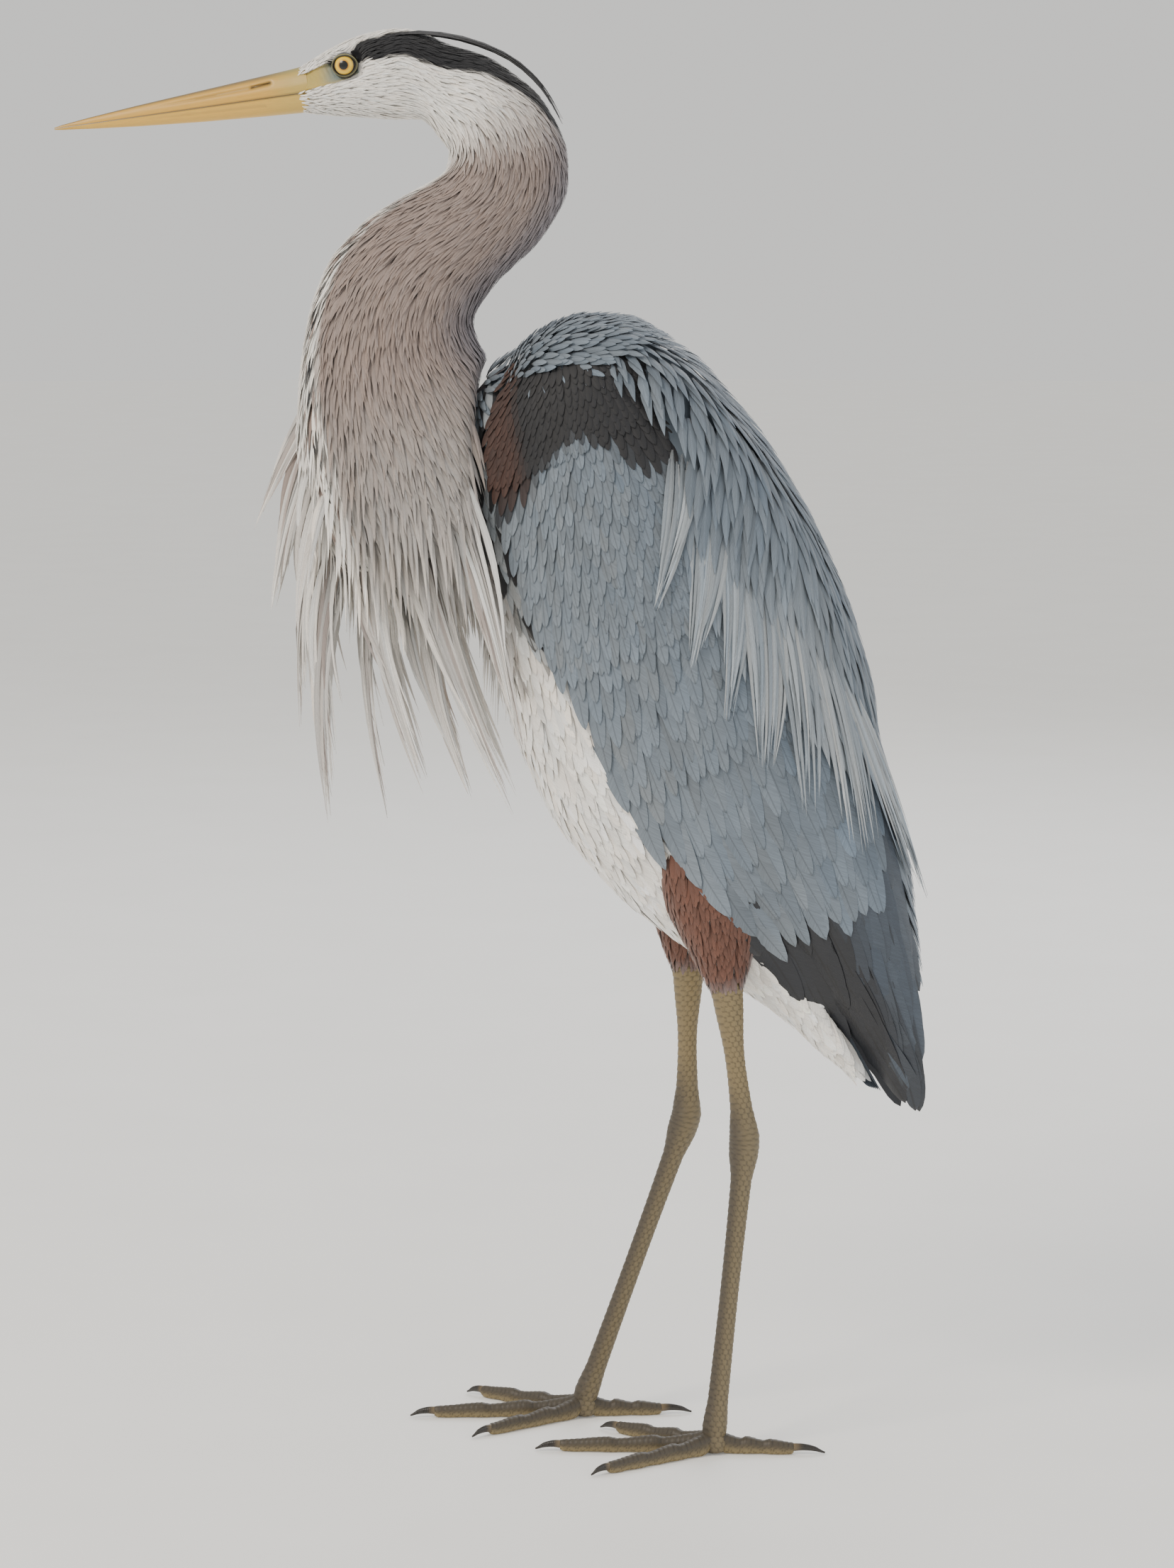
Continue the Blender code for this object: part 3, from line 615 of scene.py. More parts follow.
def vanes(lines, half_width, outline, colours, places, columns=3, rows=8, thick=0.35, camber=0.22,
          sink=4.0, lift=0.3, roll=0.0, ragged=0.06, tip=(1.0, 1.0), root=0.8):
    """Closed thin vanes along the lines, joined in one piece. They start deep under the sheet by sink and end
    close under it by lift. Tip is the tip's colour as a factor, and how far along it starts. Root is the
    factor of a painted shade that darkens the base, where a vane lies under the feathers before it."""
    count, walks = lines["points"].shape[:2]
    t = 1 - (1 - np.linspace(0, 1, rows)) ** 1.4  # rows lie closer near the tip, where the outline turns
    here = np.minimum((t * (walks - 1)).astype(int), walks - 2)
    ahead = (t * (walks - 1) - here)[:, None]
    P, N, S = (
        lines[key][:, here] * (1 - ahead) + lines[key][:, here + 1] * ahead
        for key in ("points", "up", "across"))
    x = np.linspace(-1, 1, columns)
    depth = np.asarray(sink).reshape(-1, 1) * (1 - t) ** 1.3 + np.asarray(lift).reshape(-1, 1) * t
    centre = P - N * depth[..., None]
    roll = np.zeros(count) + roll
    c, s = np.cos(roll)[:, None, None], np.sin(roll)[:, None, None]
    S, N = c * S + s * N, c * N - s * S
    start, bow, blunt = OUTLINES[outline]
    late = np.clip((t - start) / (1 - start), 0, 1)
    shape = (0.35 + 0.65 * np.minimum(t / 0.35, 1) ** 0.7) * np.maximum(1 - late**bow, 0.002) ** blunt
    width = (shape * (np.zeros(count) + half_width)[:, None])[..., None]
    waves = rng.uniform(1, 2.4, (count, 1, 2)) * t[:, None] + rng.random((count, 1, 2))
    waves = ragged * np.sin(math.tau * waves)
    width = width * (1 + np.where(x < 0, waves[..., :1], waves[..., 1:]))
    flat = (centre[:, :, None] + S[:, :, None] * (x * width)[..., None]
            - N[:, :, None] * (camber * width * x**2)[..., None])
    body = np.sqrt(np.maximum(1 - x**2, 0)) * thick / 2 * (1 - 0.6 * t[:, None])
    rise = N[:, :, None] * body[..., None]
    ring = np.concatenate([flat + rise, (flat - rise)[:, :, -2:0:-1]], 2)
    around = np.concatenate([x, x[-2:0:-1]])
    out = np.concatenate([x * width, (x * width)[:, :, -2:0:-1]], 2)
    sides = len(around)
    # painted shade: a vane is darker towards its root, where it lies under the feathers before it; the tip
    # factor is the tip's own paler or darker colour
    shade = np.ones((count, rows, sides, 1)) * (root + (1 - root) * np.minimum(t / 0.45, 1))[:, None, None]
    shade = shade * (1 + (tip[0] - 1) * np.clip((t - tip[1]) / max(1 - tip[1], 1e-6), 0, 1)[:, None, None])
    shown = colours[:, None, None] * shade
    distance = t * lines["length"][:, None] + rng.uniform(0, 900, (count, 1))
    vane = np.stack(np.broadcast_arrays(out, distance[..., None]), -1)
    inner = np.full(columns - 2, 0.05)
    nudge = np.concatenate([[0.0], inner, [0.0], -inner])
    patch = np.stack(np.broadcast_arrays(around * 0.5, (t - 0.5)[:, None] + nudge), -1) * PATCH
    patch = np.broadcast_to(patch, (count, rows, sides, 2)) + places[:, None, None]
    quads = ring_quads(rows, sides)
    start, end = np.arange(sides)[::-1], (rows - 1) * sides + np.arange(sides)
    corners = np.concatenate([quads.ravel(), start, end])
    corners = (np.arange(count)[:, None] * rows * sides + corners).ravel()
    sizes = np.tile([4] * len(quads) + [sides, sides], count)
    rim = np.tile(np.isin(np.arange(sides), (0, columns - 1)), count * rows)
    return {"points": ring.reshape(-1, 3), "corners": corners, "sizes": sizes, "rim": rim,
            "colour": shown.reshape(-1, 3), "vane": vane.reshape(-1, 2), "patch": patch.reshape(-1, 2)}


def grown(name, batches, material):
    """One piece of the coat, made from batches of vanes. It rides on the body, as everything here does."""
    starts = np.cumsum([0] + [len(b["points"]) for b in batches])
    points, rim, colour, vane, patch = (
        np.concatenate([b[key] for b in batches]) for key in ("points", "rim", "colour", "vane", "patch"))
    corners = np.concatenate([b["corners"] + start for b, start in zip(batches, starts)]).astype(np.int32)
    sizes = np.concatenate([b["sizes"] for b in batches]).astype(np.int32)
    mesh = bpy.data.meshes.new(name)
    mesh.vertices.add(len(points))
    mesh.vertices.foreach_set("co", (points * MM).astype(np.float32).ravel())
    mesh.loops.add(len(corners))
    mesh.loops.foreach_set("vertex_index", corners)
    mesh.polygons.add(len(sizes))
    mesh.polygons.foreach_set("loop_start", (np.cumsum(sizes) - sizes).astype(np.int32))
    mesh.update(calc_edges=True)
    for title, uv in (("OFBake", patch), ("Vane", vane)):
        mesh.uv_layers.new(name=title).data.foreach_set("uv", uv[corners].astype(np.float32).ravel())
    painted(mesh, "Plumage", colour)
    mesh.shade_smooth()
    ends = np.empty(len(mesh.edges) * 2, np.int32)
    mesh.edges.foreach_get("vertices", ends)
    sharp = rim[ends.reshape(-1, 2)].all(1)  # the rim between a vane's upper and lower face
    mesh.attributes.new("sharp_edge", "BOOLEAN", "EDGE").data.foreach_set("value", sharp)
    mesh.materials.append(material)
    coat[name] = int((sizes - 2).sum())
    piece = placed(name, mesh)
    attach(piece, "root")
    print(f"{name}: {coat[name]} triangles")
    return piece


# %% [markdown]
# ## What feathers are made of
# All feathers are keratin, the stuff of hair and horn, whose refractive index is about 1.55. What differs is
# how the barbs lie. On the body they hang loose, so the coat looks matt and soft. On the flight feathers they
# hook together into a closed sheet with a faint silky gloss. Barbs are 0.3 to 0.5 mm apart, too fine to show,
# so they are drawn about 1 mm apart. They slope towards the tip on both sides of the shaft, so the pattern
# runs over a map that each feather carries: across and along it, in millimetres.

# %% Feather keratin


def feather_keratin(name, roughness, sheen, gap, slope, depth, contrast, shaft=1.0, shaft_width=0.5):
    """Barbed keratin that takes its colour from each feather's marking. Fine barbs lie in uneven bunches. A
    shaft of more or less than 1 makes the middle of the vane lighter or darker."""
    made, tree, shader = new_material(name, Roughness=roughness, IOR=1.55, Sheen_Weight=sheen,
                                      Sheen_Roughness=0.5)
    place = node(tree, "SeparateXYZ", (), {"Vector": stored(tree, "map", "Vane")})
    out = reckoned(tree, "ABSOLUTE", {0: place.outputs["X"]})
    sloped = reckoned(tree, "MULTIPLY_ADD", {0: out, 2: place.outputs["Y"]}, _1=-slope)
    barbs = reckoned(tree, "SINE", {0: reckoned(tree, "MULTIPLY", {0: sloped}, _1=math.tau / gap)})
    along_barb = node(tree, "CombineXYZ", (), {
        "X": sloped, "Y": reckoned(tree, "MULTIPLY", {0: place.outputs["X"]}, _1=0.12)}).outputs[0]
    bunches = node(tree, "TexNoise", (), {"Vector": along_barb}, Scale=0.9 / gap, Detail=3.0)
    level = reckoned(tree, "MULTIPLY_ADD", {0: barbs, 2: bunches.outputs["Fac"]}, _1=0.12)
    darker = ranged(tree, level, 0.25, 0.75, 1.0 - contrast, 1.0 + contrast)
    final = scaled(tree, stored(tree, "colour", "Plumage"), darker)
    if shaft != 1.0:
        final = scaled(tree, final, ranged(tree, out, shaft_width * 0.4, shaft_width, shaft, 1.0))
    tree.links.new(final, shader.inputs["Base Color"])
    bumped(tree, shader, level, 0.6, depth * MM)
    return made


down = feather_keratin("loose contour feather keratin", 0.85, 0.25, 1.0, 1.8, 0.25, 0.22)
covert = feather_keratin("closed covert keratin", 0.68, 0.12, 1.1, 1.1, 0.22, 0.20, 0.70, shaft_width=0.6)
flight = feather_keratin("flight feather keratin", 0.5, 0.05, 1.2, 0.9, 0.2, 0.20, 0.5, shaft_width=0.9)
plume = feather_keratin("long plume keratin", 0.7, 0.25, 1.2, 3.0, 0.3, 0.26, 1.15)
print("feather materials:", down.name, "/", covert.name, "/", flight.name, "/", plume.name)

# %% [markdown]
# ## The heron's markings
# The white crown is edged with two black stripes that start above the eyes and meet on the nape. The face is
# white, the neck a warm grey, with a dark-streaked white line down its front. The back and wings are blue
# grey, the bend of the wing black with chestnut, the thighs chestnut, and the belly black with white down its
# middle. The markings are functions of where a point lies on its sheet, so that skin and feathers agree.

# %% Marking functions: linear colours for places on the sheets
WHITE, BLACK, CHESTNUT, RUFOUS = (paint(c) for c in ("#efece6", "#131419", "#3b241c", "#654336"))
NECK_GREY, NAPE_GREY, LOW_NECK = (paint(c) for c in ("#8f8079", "#77737a", "#98938f"))
BLUE_GREY, PALE_GREY, SLATE, FLIGHT_DARK = (paint(c) for c in ("#5a6672", "#a2a9ae", "#404a56", "#1b1e25"))


def blend(first, second, share):
    """Colours between two, by a share for each point."""
    share = np.clip(share, 0, 1)[..., None]
    return first * (1 - share) + second * share


def step(value, low, high):
    """0 below low and 1 above high, with a smooth rise between them."""
    t = np.clip((value - low) / (high - low), 0, 1)
    return t * t * (3 - 2 * t)


def from_back(around, sides):
    """Degrees round a sheet, from 0 on the bird's back to 180 on its front, the same on both sides."""
    angle = np.asarray(around) * 360.0 / sides % 360
    return np.minimum(angle, 360 - angle)


def neck_marks(along, around, streaks=0.5):
    """Colours on the head and neck. Streaks are random numbers, one for each feather."""
    row, angle = np.asarray(along) / RING_STEPS, from_back(around, SIDES)
    side = blend(WHITE, NECK_GREY, step(row, 6.6, 9.2))
    side = blend(side, LOW_NECK, step(row, 15, 18.5))
    colour = blend(side, NAPE_GREY, step(row, 7.0, 10) * step(-angle, -55, -10) * 0.8)
    top = np.interp(row, [1.6, 2.2, 3, 4, 5, 5.8, 9.0], [50, 34, 27, 25, 17, -2, -2])
    low = np.interp(row, [1.6, 2.2, 2.7, 3.2, 4, 5, 6, 7, 8, 8.8], [51, 47, 44, 58, 64, 63, 52, 38, 22, 0])
    colour = blend(colour, BLACK, step(angle, top - 3, top + 3) * step(-angle, -low - 3, -low + 3)
                   * step(row, 1.5, 1.9) * step(-row, -9.0, -8.4))
    front = np.interp(row, [6.5, 8.5, 13, 17, 21], [6, 15, 20, 34, 40])
    on_front = step(angle, 180 - front - 5, 180 - front + 3) * step(row, 6.2, 7.4)
    colour = blend(colour, WHITE, on_front * 0.95)
    edge = np.exp(-(((angle - 180 + front * 0.72) / (front * 0.38)) ** 2)) * step(row, 8.5, 11)
    streak = np.broadcast_to(streaks, edge.shape)
    colour = blend(colour, BLACK, edge * (streak > 0.72))
    return blend(colour, RUFOUS, edge * ((streak > 0.52) & (streak <= 0.72)) * 0.85)


def run_at(ring_runs, along):
    """How far down the axis places lie that are given by ring numbers."""
    return np.interp(along, np.arange(len(ring_runs)), ring_runs)


def trunk_marks(along, around, streaks=0.5):
    """Colours on the breast, belly, flanks and under the tail."""
    run = run_at(trunk_along, along)
    angle = from_back(around, TRUNK_SIDES)
    colour = blend(BLUE_GREY, PALE_GREY, step(angle, 60, 105))
    streaked = step(angle, 104, 128) * step(-run, -340, -290) * (0.25 + 0.75 * (np.asarray(streaks) > 0.55))
    colour = blend(colour, BLACK, streaked)
    middle = np.interp(run, [0, 90, 190, 300, 360], [16, 20, 42, 40, 60])
    colour = blend(colour, WHITE, step(angle, 180 - middle - 4, 180 - middle + 4))
    return blend(colour, WHITE, step(run, 318, 352) * step(angle, 70, 100))


def hull_marks(along, around, streaks=0.5):
    """Colours on the back: blue grey, a little paler on some feathers."""
    return blend(BLUE_GREY, PALE_GREY, 0.12 * np.broadcast_to(streaks, np.shape(along)))


def varied(colours, amount):
    """Each feather a little lighter or darker, and warmer or cooler, than the next."""
    count = len(colours)
    light = np.exp(rng.normal(0, amount, (count, 1)))
    warm = rng.normal(0, amount * 0.25, (count, 1))
    return np.clip(colours * light * (1 + warm * np.array([1, 0, -1])), 0, 0.95)


def map_places(sheet, along, around):
    """Where roots lie on a flat map of the sheet, which is what a picture of the coat is spread over."""
    rings, sides = sheet["points"].shape[:2]
    return 0.01 + 0.98 * np.stack([np.asarray(around) / sides % 1, np.asarray(along) / rings], -1)


# %% [markdown]
# ## The head's and neck's coat
# The face wears feathers of 5 or 6 mm, the smallest on the bird, and they lengthen steadily down the neck.
# Bare skin runs from the bill to the eye and rings the eye, so no feather starts there.

# %% Feathers of the head and neck


def bare_face(points, spare=0.0):
    """Whether points lie on the bare skin between the bill and the eye, or round the eye."""
    behind, up = head_place(points)
    ring = np.hypot(behind - EYE_BACK, up - EYE_UP) < np.where(up > EYE_UP, 6.6, 7.4) + spare
    top = np.interp(behind, [-5, 8, 20, 28, 36], [9.5, 11.5, 15.5, 18.5, 17])
    bottom = np.interp(behind, [-5, 10, 26, 34, 41], [-0.5, 0.8, 2.5, 4.0, 6.5])
    lore = (behind < 41 + spare) & (up > bottom - spare) & (up < top + spare)
    return ring | lore


def buried(points, tree, depth):
    """Whether points lie deeper than this inside a solid, where nothing would show."""
    hidden = np.zeros(len(points), bool)
    for i, point in enumerate(points):
        near, normal, _, _ = tree.find_nearest(Vector(point))
        hidden[i] = (Vector(point) - near).dot(normal) < -depth
    return hidden


def neck_gap(along, around):
    """How far apart roots stand, from face to breast."""
    row = along / RING_STEPS
    return np.interp(row, [0, 2, 4, 6, 8, 12, 15, 18, 21], [1.25, 1.4, 1.7, 2.0, 2.1, 2.4, 2.9, 3.8, 4.6])


def on_neck(along, around, points):
    """Whether a feather of the head or neck grows at a place. Other coats have tests like it."""
    return ~bare_face(points) & ~buried(points, body_tree, 6.0) & (along > 0.2)


NECK_PIECES = (  # name, the rows it covers, slot, rows of points in a vane
    ("coat_head", 0, 6.4, "head_feather", 6), ("coat_neck_upper", 6.4, 11.5, "neck_feather", 7),
    ("coat_neck_lower", 11.5, 15.5, "neck_feather", 7), ("coat_breast", 15.5, 30, "neck_feather", 7),
)
along, around = strewn(neck_sheet, neck_gap, on_neck)
row = along / RING_STEPS
length = np.interp(row, [0, 1, 2, 4, 6, 8, 12, 15, 18, 21], [4.6, 6.0, 7.6, 10.5, 13.5, 17, 23, 29, 36, 40])
wide = np.interp(row, [0, 2, 4, 6, 8, 12, 15, 18, 21], [0.62, 0.78, 0.95, 1.15, 1.3, 1.5, 1.9, 2.7, 3.2])
length *= rng.uniform(0.88, 1.15, len(row))
turn, bend = rng.normal(0, 0.08, len(row)), rng.normal(0, 0.12, len(row))
lines = walked(neck_sheet, along, around, length, 6, turn, bend)
shown_along = along + 0.6 * (lines["end"][0] - along)
shown_around = around + 0.6 * (lines["end"][1] - around)
colours = varied(neck_marks(shown_along, shown_around, rng.random(len(row))), 0.06)
places = map_places(neck_sheet, along, around)
deep = np.interp(row, [0, 2, 4, 7, 12, 16, 21], [0.8, 1.1, 1.7, 2.6, 3.4, 4.4, 6.0])
for name, first, last, slot, rows in NECK_PIECES:
    picked = (row >= first) & (row < last)
    count = picked.sum()
    part = {key: value[picked] for key, value in lines.items() if key != "end"}
    grown(name, [vanes(part, wide[picked], "lance", colours[picked], places[picked], sink=deep[picked],
                       lift=rng.uniform(0.0, 0.4, count), roll=rng.normal(0, 0.05, count), rows=rows,
                       thick=0.28, tip=(1.1, 0.7))], down)

# %% [markdown]
# ## Belly, flanks and thighs
# Under the wings the coat is looser, with feathers of 3 or 4 cm. Where a wing or the neck covers the trunk no
# feather is grown, as it would never be seen. The thighs wear short, dense chestnut feathers down to where
# the bare shank begins.

# %% The trunk's feathers
thigh_trees = [tree_of(*fused([f"thigh_{side}"], 2.0)) for side in LEGS]


def on_trunk(along, around, points):
    run, back = body_place(points)
    below_wing = back < low_edge(run) + np.interp(run, [310, 350], [5, -1])
    shown = below_wing & (run < 448)
    shown &= ~buried(points, body_tree, 5.0) & ~buried(points, head_and_neck, 4.0)
    middles = look(trunk_sheet["points"], along + 4, around)
    for tree in thigh_trees:
        shown &= ~buried(points, tree, 0.0) & ~buried(middles, tree, 0.0)
    return shown


along, around = strewn(trunk_sheet, 4.6, on_trunk)
run, count = run_at(trunk_along, along), len(along)
length = np.interp(run, [0, 250, 330, 400, 470], [30, 36, 42, 40, 22]) * rng.uniform(0.88, 1.12, count)
wide = np.interp(run, [0, 300, 400, 470], [3.4, 4.0, 4.6, 3.4])
turn, bend = rng.normal(0, 0.09, count), rng.normal(0, 0.1, count)
lines = walked(trunk_sheet, along, around, length, 7, turn, bend)
end_along, end_around = lines.pop("end")
shown_along, shown_around = along + 0.65 * (end_along - along), around + 0.65 * (end_around - around)
shown = varied(trunk_marks(shown_along, shown_around, rng.random(count)), 0.08)
grown("coat_belly", [vanes(lines, wide, "contour", shown, map_places(trunk_sheet, along, around), sink=5.0,
                           lift=rng.uniform(0.2, 0.8, count), roll=rng.normal(0, 0.07, count),
                           tip=(1.15, 0.7))], down)

# %% The thighs' feathers


def on_thigh(along, around, points):
    run, back = body_place(points)
    below_wing = back < low_edge(run) + 8
    return below_wing & ~buried(points, trunk_tree, 3.0)


for side, sheet in thigh_sheets.items():
    along, around = strewn(sheet, 2.9, on_thigh)
    count = len(along)
    length = np.interp(along, [0, 22, 33], [19, 15, 8]) * rng.uniform(0.88, 1.12, count)
    wide = np.interp(along, [0, 33], [2.0, 1.4])
    turn, bend = rng.normal(0, 0.12, count), rng.normal(0, 0.1, count)
    lines = walked(sheet, along, around, length, 6, turn, bend)
    lines.pop("end")
    angle = from_back(around, THIGH_SIDES)
    shown = varied(blend(RUFOUS, PALE_GREY, 0.25 * step(angle, 40, 0) + 0.3 * step(along, 26, 33)), 0.08)
    grown(f"coat_thigh_{side}", [vanes(lines, wide, "contour", shown, map_places(sheet, along, around),
                                       sink=3.0, lift=rng.uniform(0.0, 0.5, count),
                                       roll=rng.normal(0, 0.08, count), thick=0.3,
                                       tip=(1.2, 0.7))], down)

# %% [markdown]
# ## The folded wing
# A wing's feathers come in orders. Marginal coverts, hardly a centimetre long, edge the bend of the wing.
# Lesser, median and greater coverts follow in rows, each order longer than the one before and lying over the
# roots of the next. The long flight feathers show below them, black at their edges. Towards the lower edge of
# the wing every order turns outwards, so that the tips overhang the edge and notch it.

# %% Places on the wing, given by the body's ruler


def wing_lines(side, run, back, length, count, turn, bend):
    """Lines on a wing's outer face from roots given by the body's ruler."""
    along, across = (run - WING_ALONG[0]) / WING_STEP, (back - WING_BACK[0]) / WING_STEP
    lines = walked(wing_sheets[side], along, across, length, count, turn, bend)
    lines.pop("end")
    return lines if side == "left" else mirrored(lines)


SPAN = 12  # how far ahead and behind a slope is read


def edge_share(run, back):
    """Where a place lies between the wing's edges: 0 on the lower one, 1 on the upper one."""
    low, high = low_edge(run), high_edge(run)
    return np.clip((back - low) / (high - low), 0, 1)


def taper_angle(run, share):
    """The way of the line that keeps its share between the two edges, so that feathers meet at the tip."""
    before, after = (
        (1 - share) * low_edge(at) + share * high_edge(at)
        for at in (run - SPAN, run + SPAN))
    return np.arctan((after - before) / (2 * SPAN))


def outward_turn(run, share):
    """How far feathers turn from that line towards the lower edge: most near it, hardly on the upper half."""
    most = np.interp(run, [-26, 60, 200, 300, 400], [0.6, 0.5, 0.36, 0.08, 0.0])
    return -most * (1 - share) ** 1.6


def past_upper_edge(lines, half_width):
    """The angle by which vanes have to turn down so that they stay inside the wing's upper edge."""
    run, back = body_place(lines["points"])
    distance = np.linspace(0, 1, run.shape[1]) * lines["length"][:, None]
    past = back + half_width - high_edge(run)
    return np.clip(past[:, 4:] / distance[:, 4:], 0, None).max(1)


def mirrored(lines):
    """The same lines on the bird's right side."""
    flip = np.array([1, -1, 1])
    turned = {"points": lines["points"] * flip, "up": lines["up"] * flip, "across": -lines["across"] * flip}
    return lines | turned


def wing_rows(first, last, row_gap, gap, inset):
    """Roots in staggered rows across the wing, from a little inside its lower edge to its upper edge, or to
    just under the shoulder's feathers."""
    runs, backs = [], []
    for number, run in enumerate(np.arange(first, last, row_gap)):
        low = low_edge(run) + np.interp(run, [first, last], inset)
        high = high_edge(run) - np.interp(run, [180, 340], [12, 27])
        high = min(high, scapular_edge(run) + 20)
        places = np.arange(low + gap * 0.5 * (number % 2), high, gap)
        backs.append(places + rng.normal(0, gap * 0.08, len(places)))
        runs.append(run + rng.normal(0, row_gap * 0.08, len(places)))
    return np.concatenate(runs), np.concatenate(backs)


EPAULET = [  # towards the back, and the hind edge of the dark patch on the bend
    (-45, 66), (-20, 48), (10, 38), (26, 54), (43, 80), (62, 76), (82, 62),
]
SCAPULAR_EDGE = [  # down the axis, and the shoulder feathers' lower edge, above the epaulet and behind it
    (-24, -26), (-9, -8), (-4, 24), (6, 46), (40, 68), (64, 79), (84, 64), (105, 50), (150, 52), (205, 66),
    (245, 80), (290, 92),
]


def scapular_edge(run):
    """The shoulder feathers' lower edge, down the axis."""
    return np.interp(run, *zip(*SCAPULAR_EDGE))


def wing_map(run, back):
    """Where feathers of a wing lie on the flat map of their piece."""
    return np.stack([(back + 100) / 230, (run + 40) / 580], -1)


def wing_marks(run, back, order):
    """Colours of wing feathers: the epaulet on the bend, blue grey coverts, and black flight feathers."""
    share = edge_share(run, back)
    if order == "flight":
        return blend(FLIGHT_DARK, SLATE, step(share, 0.35, 0.6))
    colour = blend(BLUE_GREY, PALE_GREY, 0.22 * (1 - share))
    hind = np.interp(back, *zip(*EPAULET))
    colour = blend(colour, BLACK, step(-run, -hind - 3, -hind + 4))
    return blend(colour, CHESTNUT, step(-share, -0.17, -0.08) * step(-run, -64, -52))


# %% Coverts and flight feathers of both wings
ORDERS = [  # name, rows from and to, row gap, gap, inset, length, half width, sink, lift, rows, outline
    ("flight", 190, 352, 20, 11.0, (34, 6), (140, 158), (11.0, 9.5), 7.5, 3.4, 16, "flight"),
    ("greater", 170, 300, 20, 8.6, (15, 19), (84, 92), (8.7, 9.8), 6.0, 2.2, 12, "contour"),
    ("median", 98, 215, 13, 7.2, (13, 15), (44, 58), (5.6, 6.8), 5.0, 1.3, 10, "contour"),
    ("lesser", 22, 138, 6.4, 5.6, (5, 8), (20, 36), (3.3, 5.0), 3.6, 0.7, 9, "contour"),
    ("marginal", -26, 32, 3.6, 3.9, (1, 2), (10, 18), (2.1, 3.2), 2.4, 0.4, 7, "contour"),
]
for side, sign in (("left", 1), ("right", -1)):
    batches = {"wing": [], "flight": []}
    for order, first, last, row_gap, gap, inset, lengths, widths, sink, lift, rows, outline in ORDERS:
        run, back = wing_rows(first, last, row_gap, gap, inset)
        late, share = np.clip((run - first) / (last - first), 0, 1), edge_share(run, back)
        count, is_flight = len(run), order == "flight"
        length = np.interp(late, [0, 1], lengths) * rng.uniform(0.94, 1.06, count)
        start, end = taper_angle(run, share), taper_angle(run + length, share)
        turn = outward_turn(run, share) * (0.4 if is_flight else 1.0) + rng.normal(0, 0.03, count)
        lines = wing_lines(side, run, back, length, rows - 1, start + turn, end - start - 0.35 * turn)
        if is_flight:
            turn = turn - past_upper_edge(lines, 8.5)
            lines = wing_lines(side, run, back, length, rows - 1, start + turn, end - start)
        shown_run, shown_back = run + 0.7 * length, back + 0.7 * length * np.sin(start + turn)
        colours = varied(wing_marks(shown_run, shown_back, order), 0.08)
        batch = vanes(lines, np.interp(late, [0, 1], widths), outline, colours, wing_map(run, back),
                      columns=5, rows=rows, sink=sink, lift=lift + rng.uniform(-0.3, 0.3, count),
                      roll=-0.10 * sign + rng.normal(0, 0.02, count), thick=0.45, camber=0.14,
                      tip=(0.85, 0.7) if is_flight else (1.2, 0.75), ragged=0.02)
        batches["flight" if is_flight else "wing"].append(batch)
    grown(f"coat_wing_{side}", batches["wing"], covert)
    grown(f"coat_flight_{side}", batches["flight"], flight)

# %% [markdown]
# ## Back, shoulders and long plumes
# The shoulders' feathers, the scapulars, fan out over the root of the wing, and between the wings the back's
# feathers go on down to the rump. The last row of the scapulars grows into long silver plumes that hang over
# the coverts. More plumes hang from the lower neck, and two black ones trail from the nape. A plume is a
# lock: several narrow feathers that leave the skin side by side and meet at a tip.

# %% The shoulders' front


def on_dome(along, around, points):
    run, back = body_place(points)
    above = (back > scapular_edge(run) - 6) | (along < 9)
    return above & (run < 2) & ~buried(points, head_and_neck, 3.0)


along, around = strewn(dome_sheet, 3.6, on_dome)
length, turn = rng.uniform(12, 17, len(along)), rng.normal(0, 0.1, len(along))
lines = walked(dome_sheet, along, around, length, 7, turn)
lines.pop("end")
tip_run, tip_back = body_place(lines["points"][:, -1])
on_coverts = (tip_back <= scapular_edge(tip_run) - 9) & (tip_back >= low_edge(tip_run))
clear = ~on_coverts  # feathers whose tips would lie on the wing's own coverts are left out
lines, along, around = {key: value[clear] for key, value in lines.items()}, along[clear], around[clear]
count = len(along)
shown = varied(hull_marks(along, around, rng.random(count)), 0.06)
grown("coat_shoulders", [vanes(lines, 2.2, "contour", shown, map_places(dome_sheet, along, around), sink=3.5,
                               lift=rng.uniform(-0.6, -0.1, count), roll=rng.normal(0, 0.06, count),
                               rows=10, columns=5, tip=(1.2, 0.6))], plume)

# %% Scapulars, back and rump
RUMP = (300, 404)  # where the rump starts and ends, down the axis
OUTWARD = [(-20, -0.2), (60, -0.62), (110, -0.6), (200, -0.28), (300, -0.12)]  # the way the scapulars turn


def on_back(along, around, points):
    run, back = body_place(points)
    on_top = (back > scapular_edge(run)) & (run > -8) & (run < RUMP[0])
    between_wings = np.abs(points[:, 1]) < np.interp(run, RUMP, [32, 23])
    rump = (run >= RUMP[0]) & (run < RUMP[1]) & (back > 20) & between_wings
    return (on_top | rump) & ~buried(points, head_and_neck, 3.0)


along, around = strewn(hull_sheet, 6.2, on_back)
run, count = run_at(hull_along, along), len(along)
angle = from_back(around, HULL_SIDES)
sign = np.where(around % HULL_SIDES < HULL_SIDES / 2, 1, -1)
length = np.interp(run, [-20, 20, 120, 290, 404], [14, 24, 46, 66, 36]) * rng.uniform(0.9, 1.1, count)
wide = np.interp(run, [-20, 20, 120, 290], [2.4, 3.4, 4.8, 5.4])
turn = sign * np.interp(run, *zip(*OUTWARD)) * step(angle, 4, 40) + rng.normal(0, 0.05, count)
lines = walked(hull_sheet, along, around, length, 9, turn, -0.3 * turn)
end_along, end_around = lines.pop("end")
shown = hull_marks(0.4 * along + 0.6 * end_along, 0.4 * around + 0.6 * end_around, rng.random(count))
shown = varied(blend(shown, PALE_GREY, 0.55 * step(run, 90, 230) * step(angle, 15, 45)), 0.06)
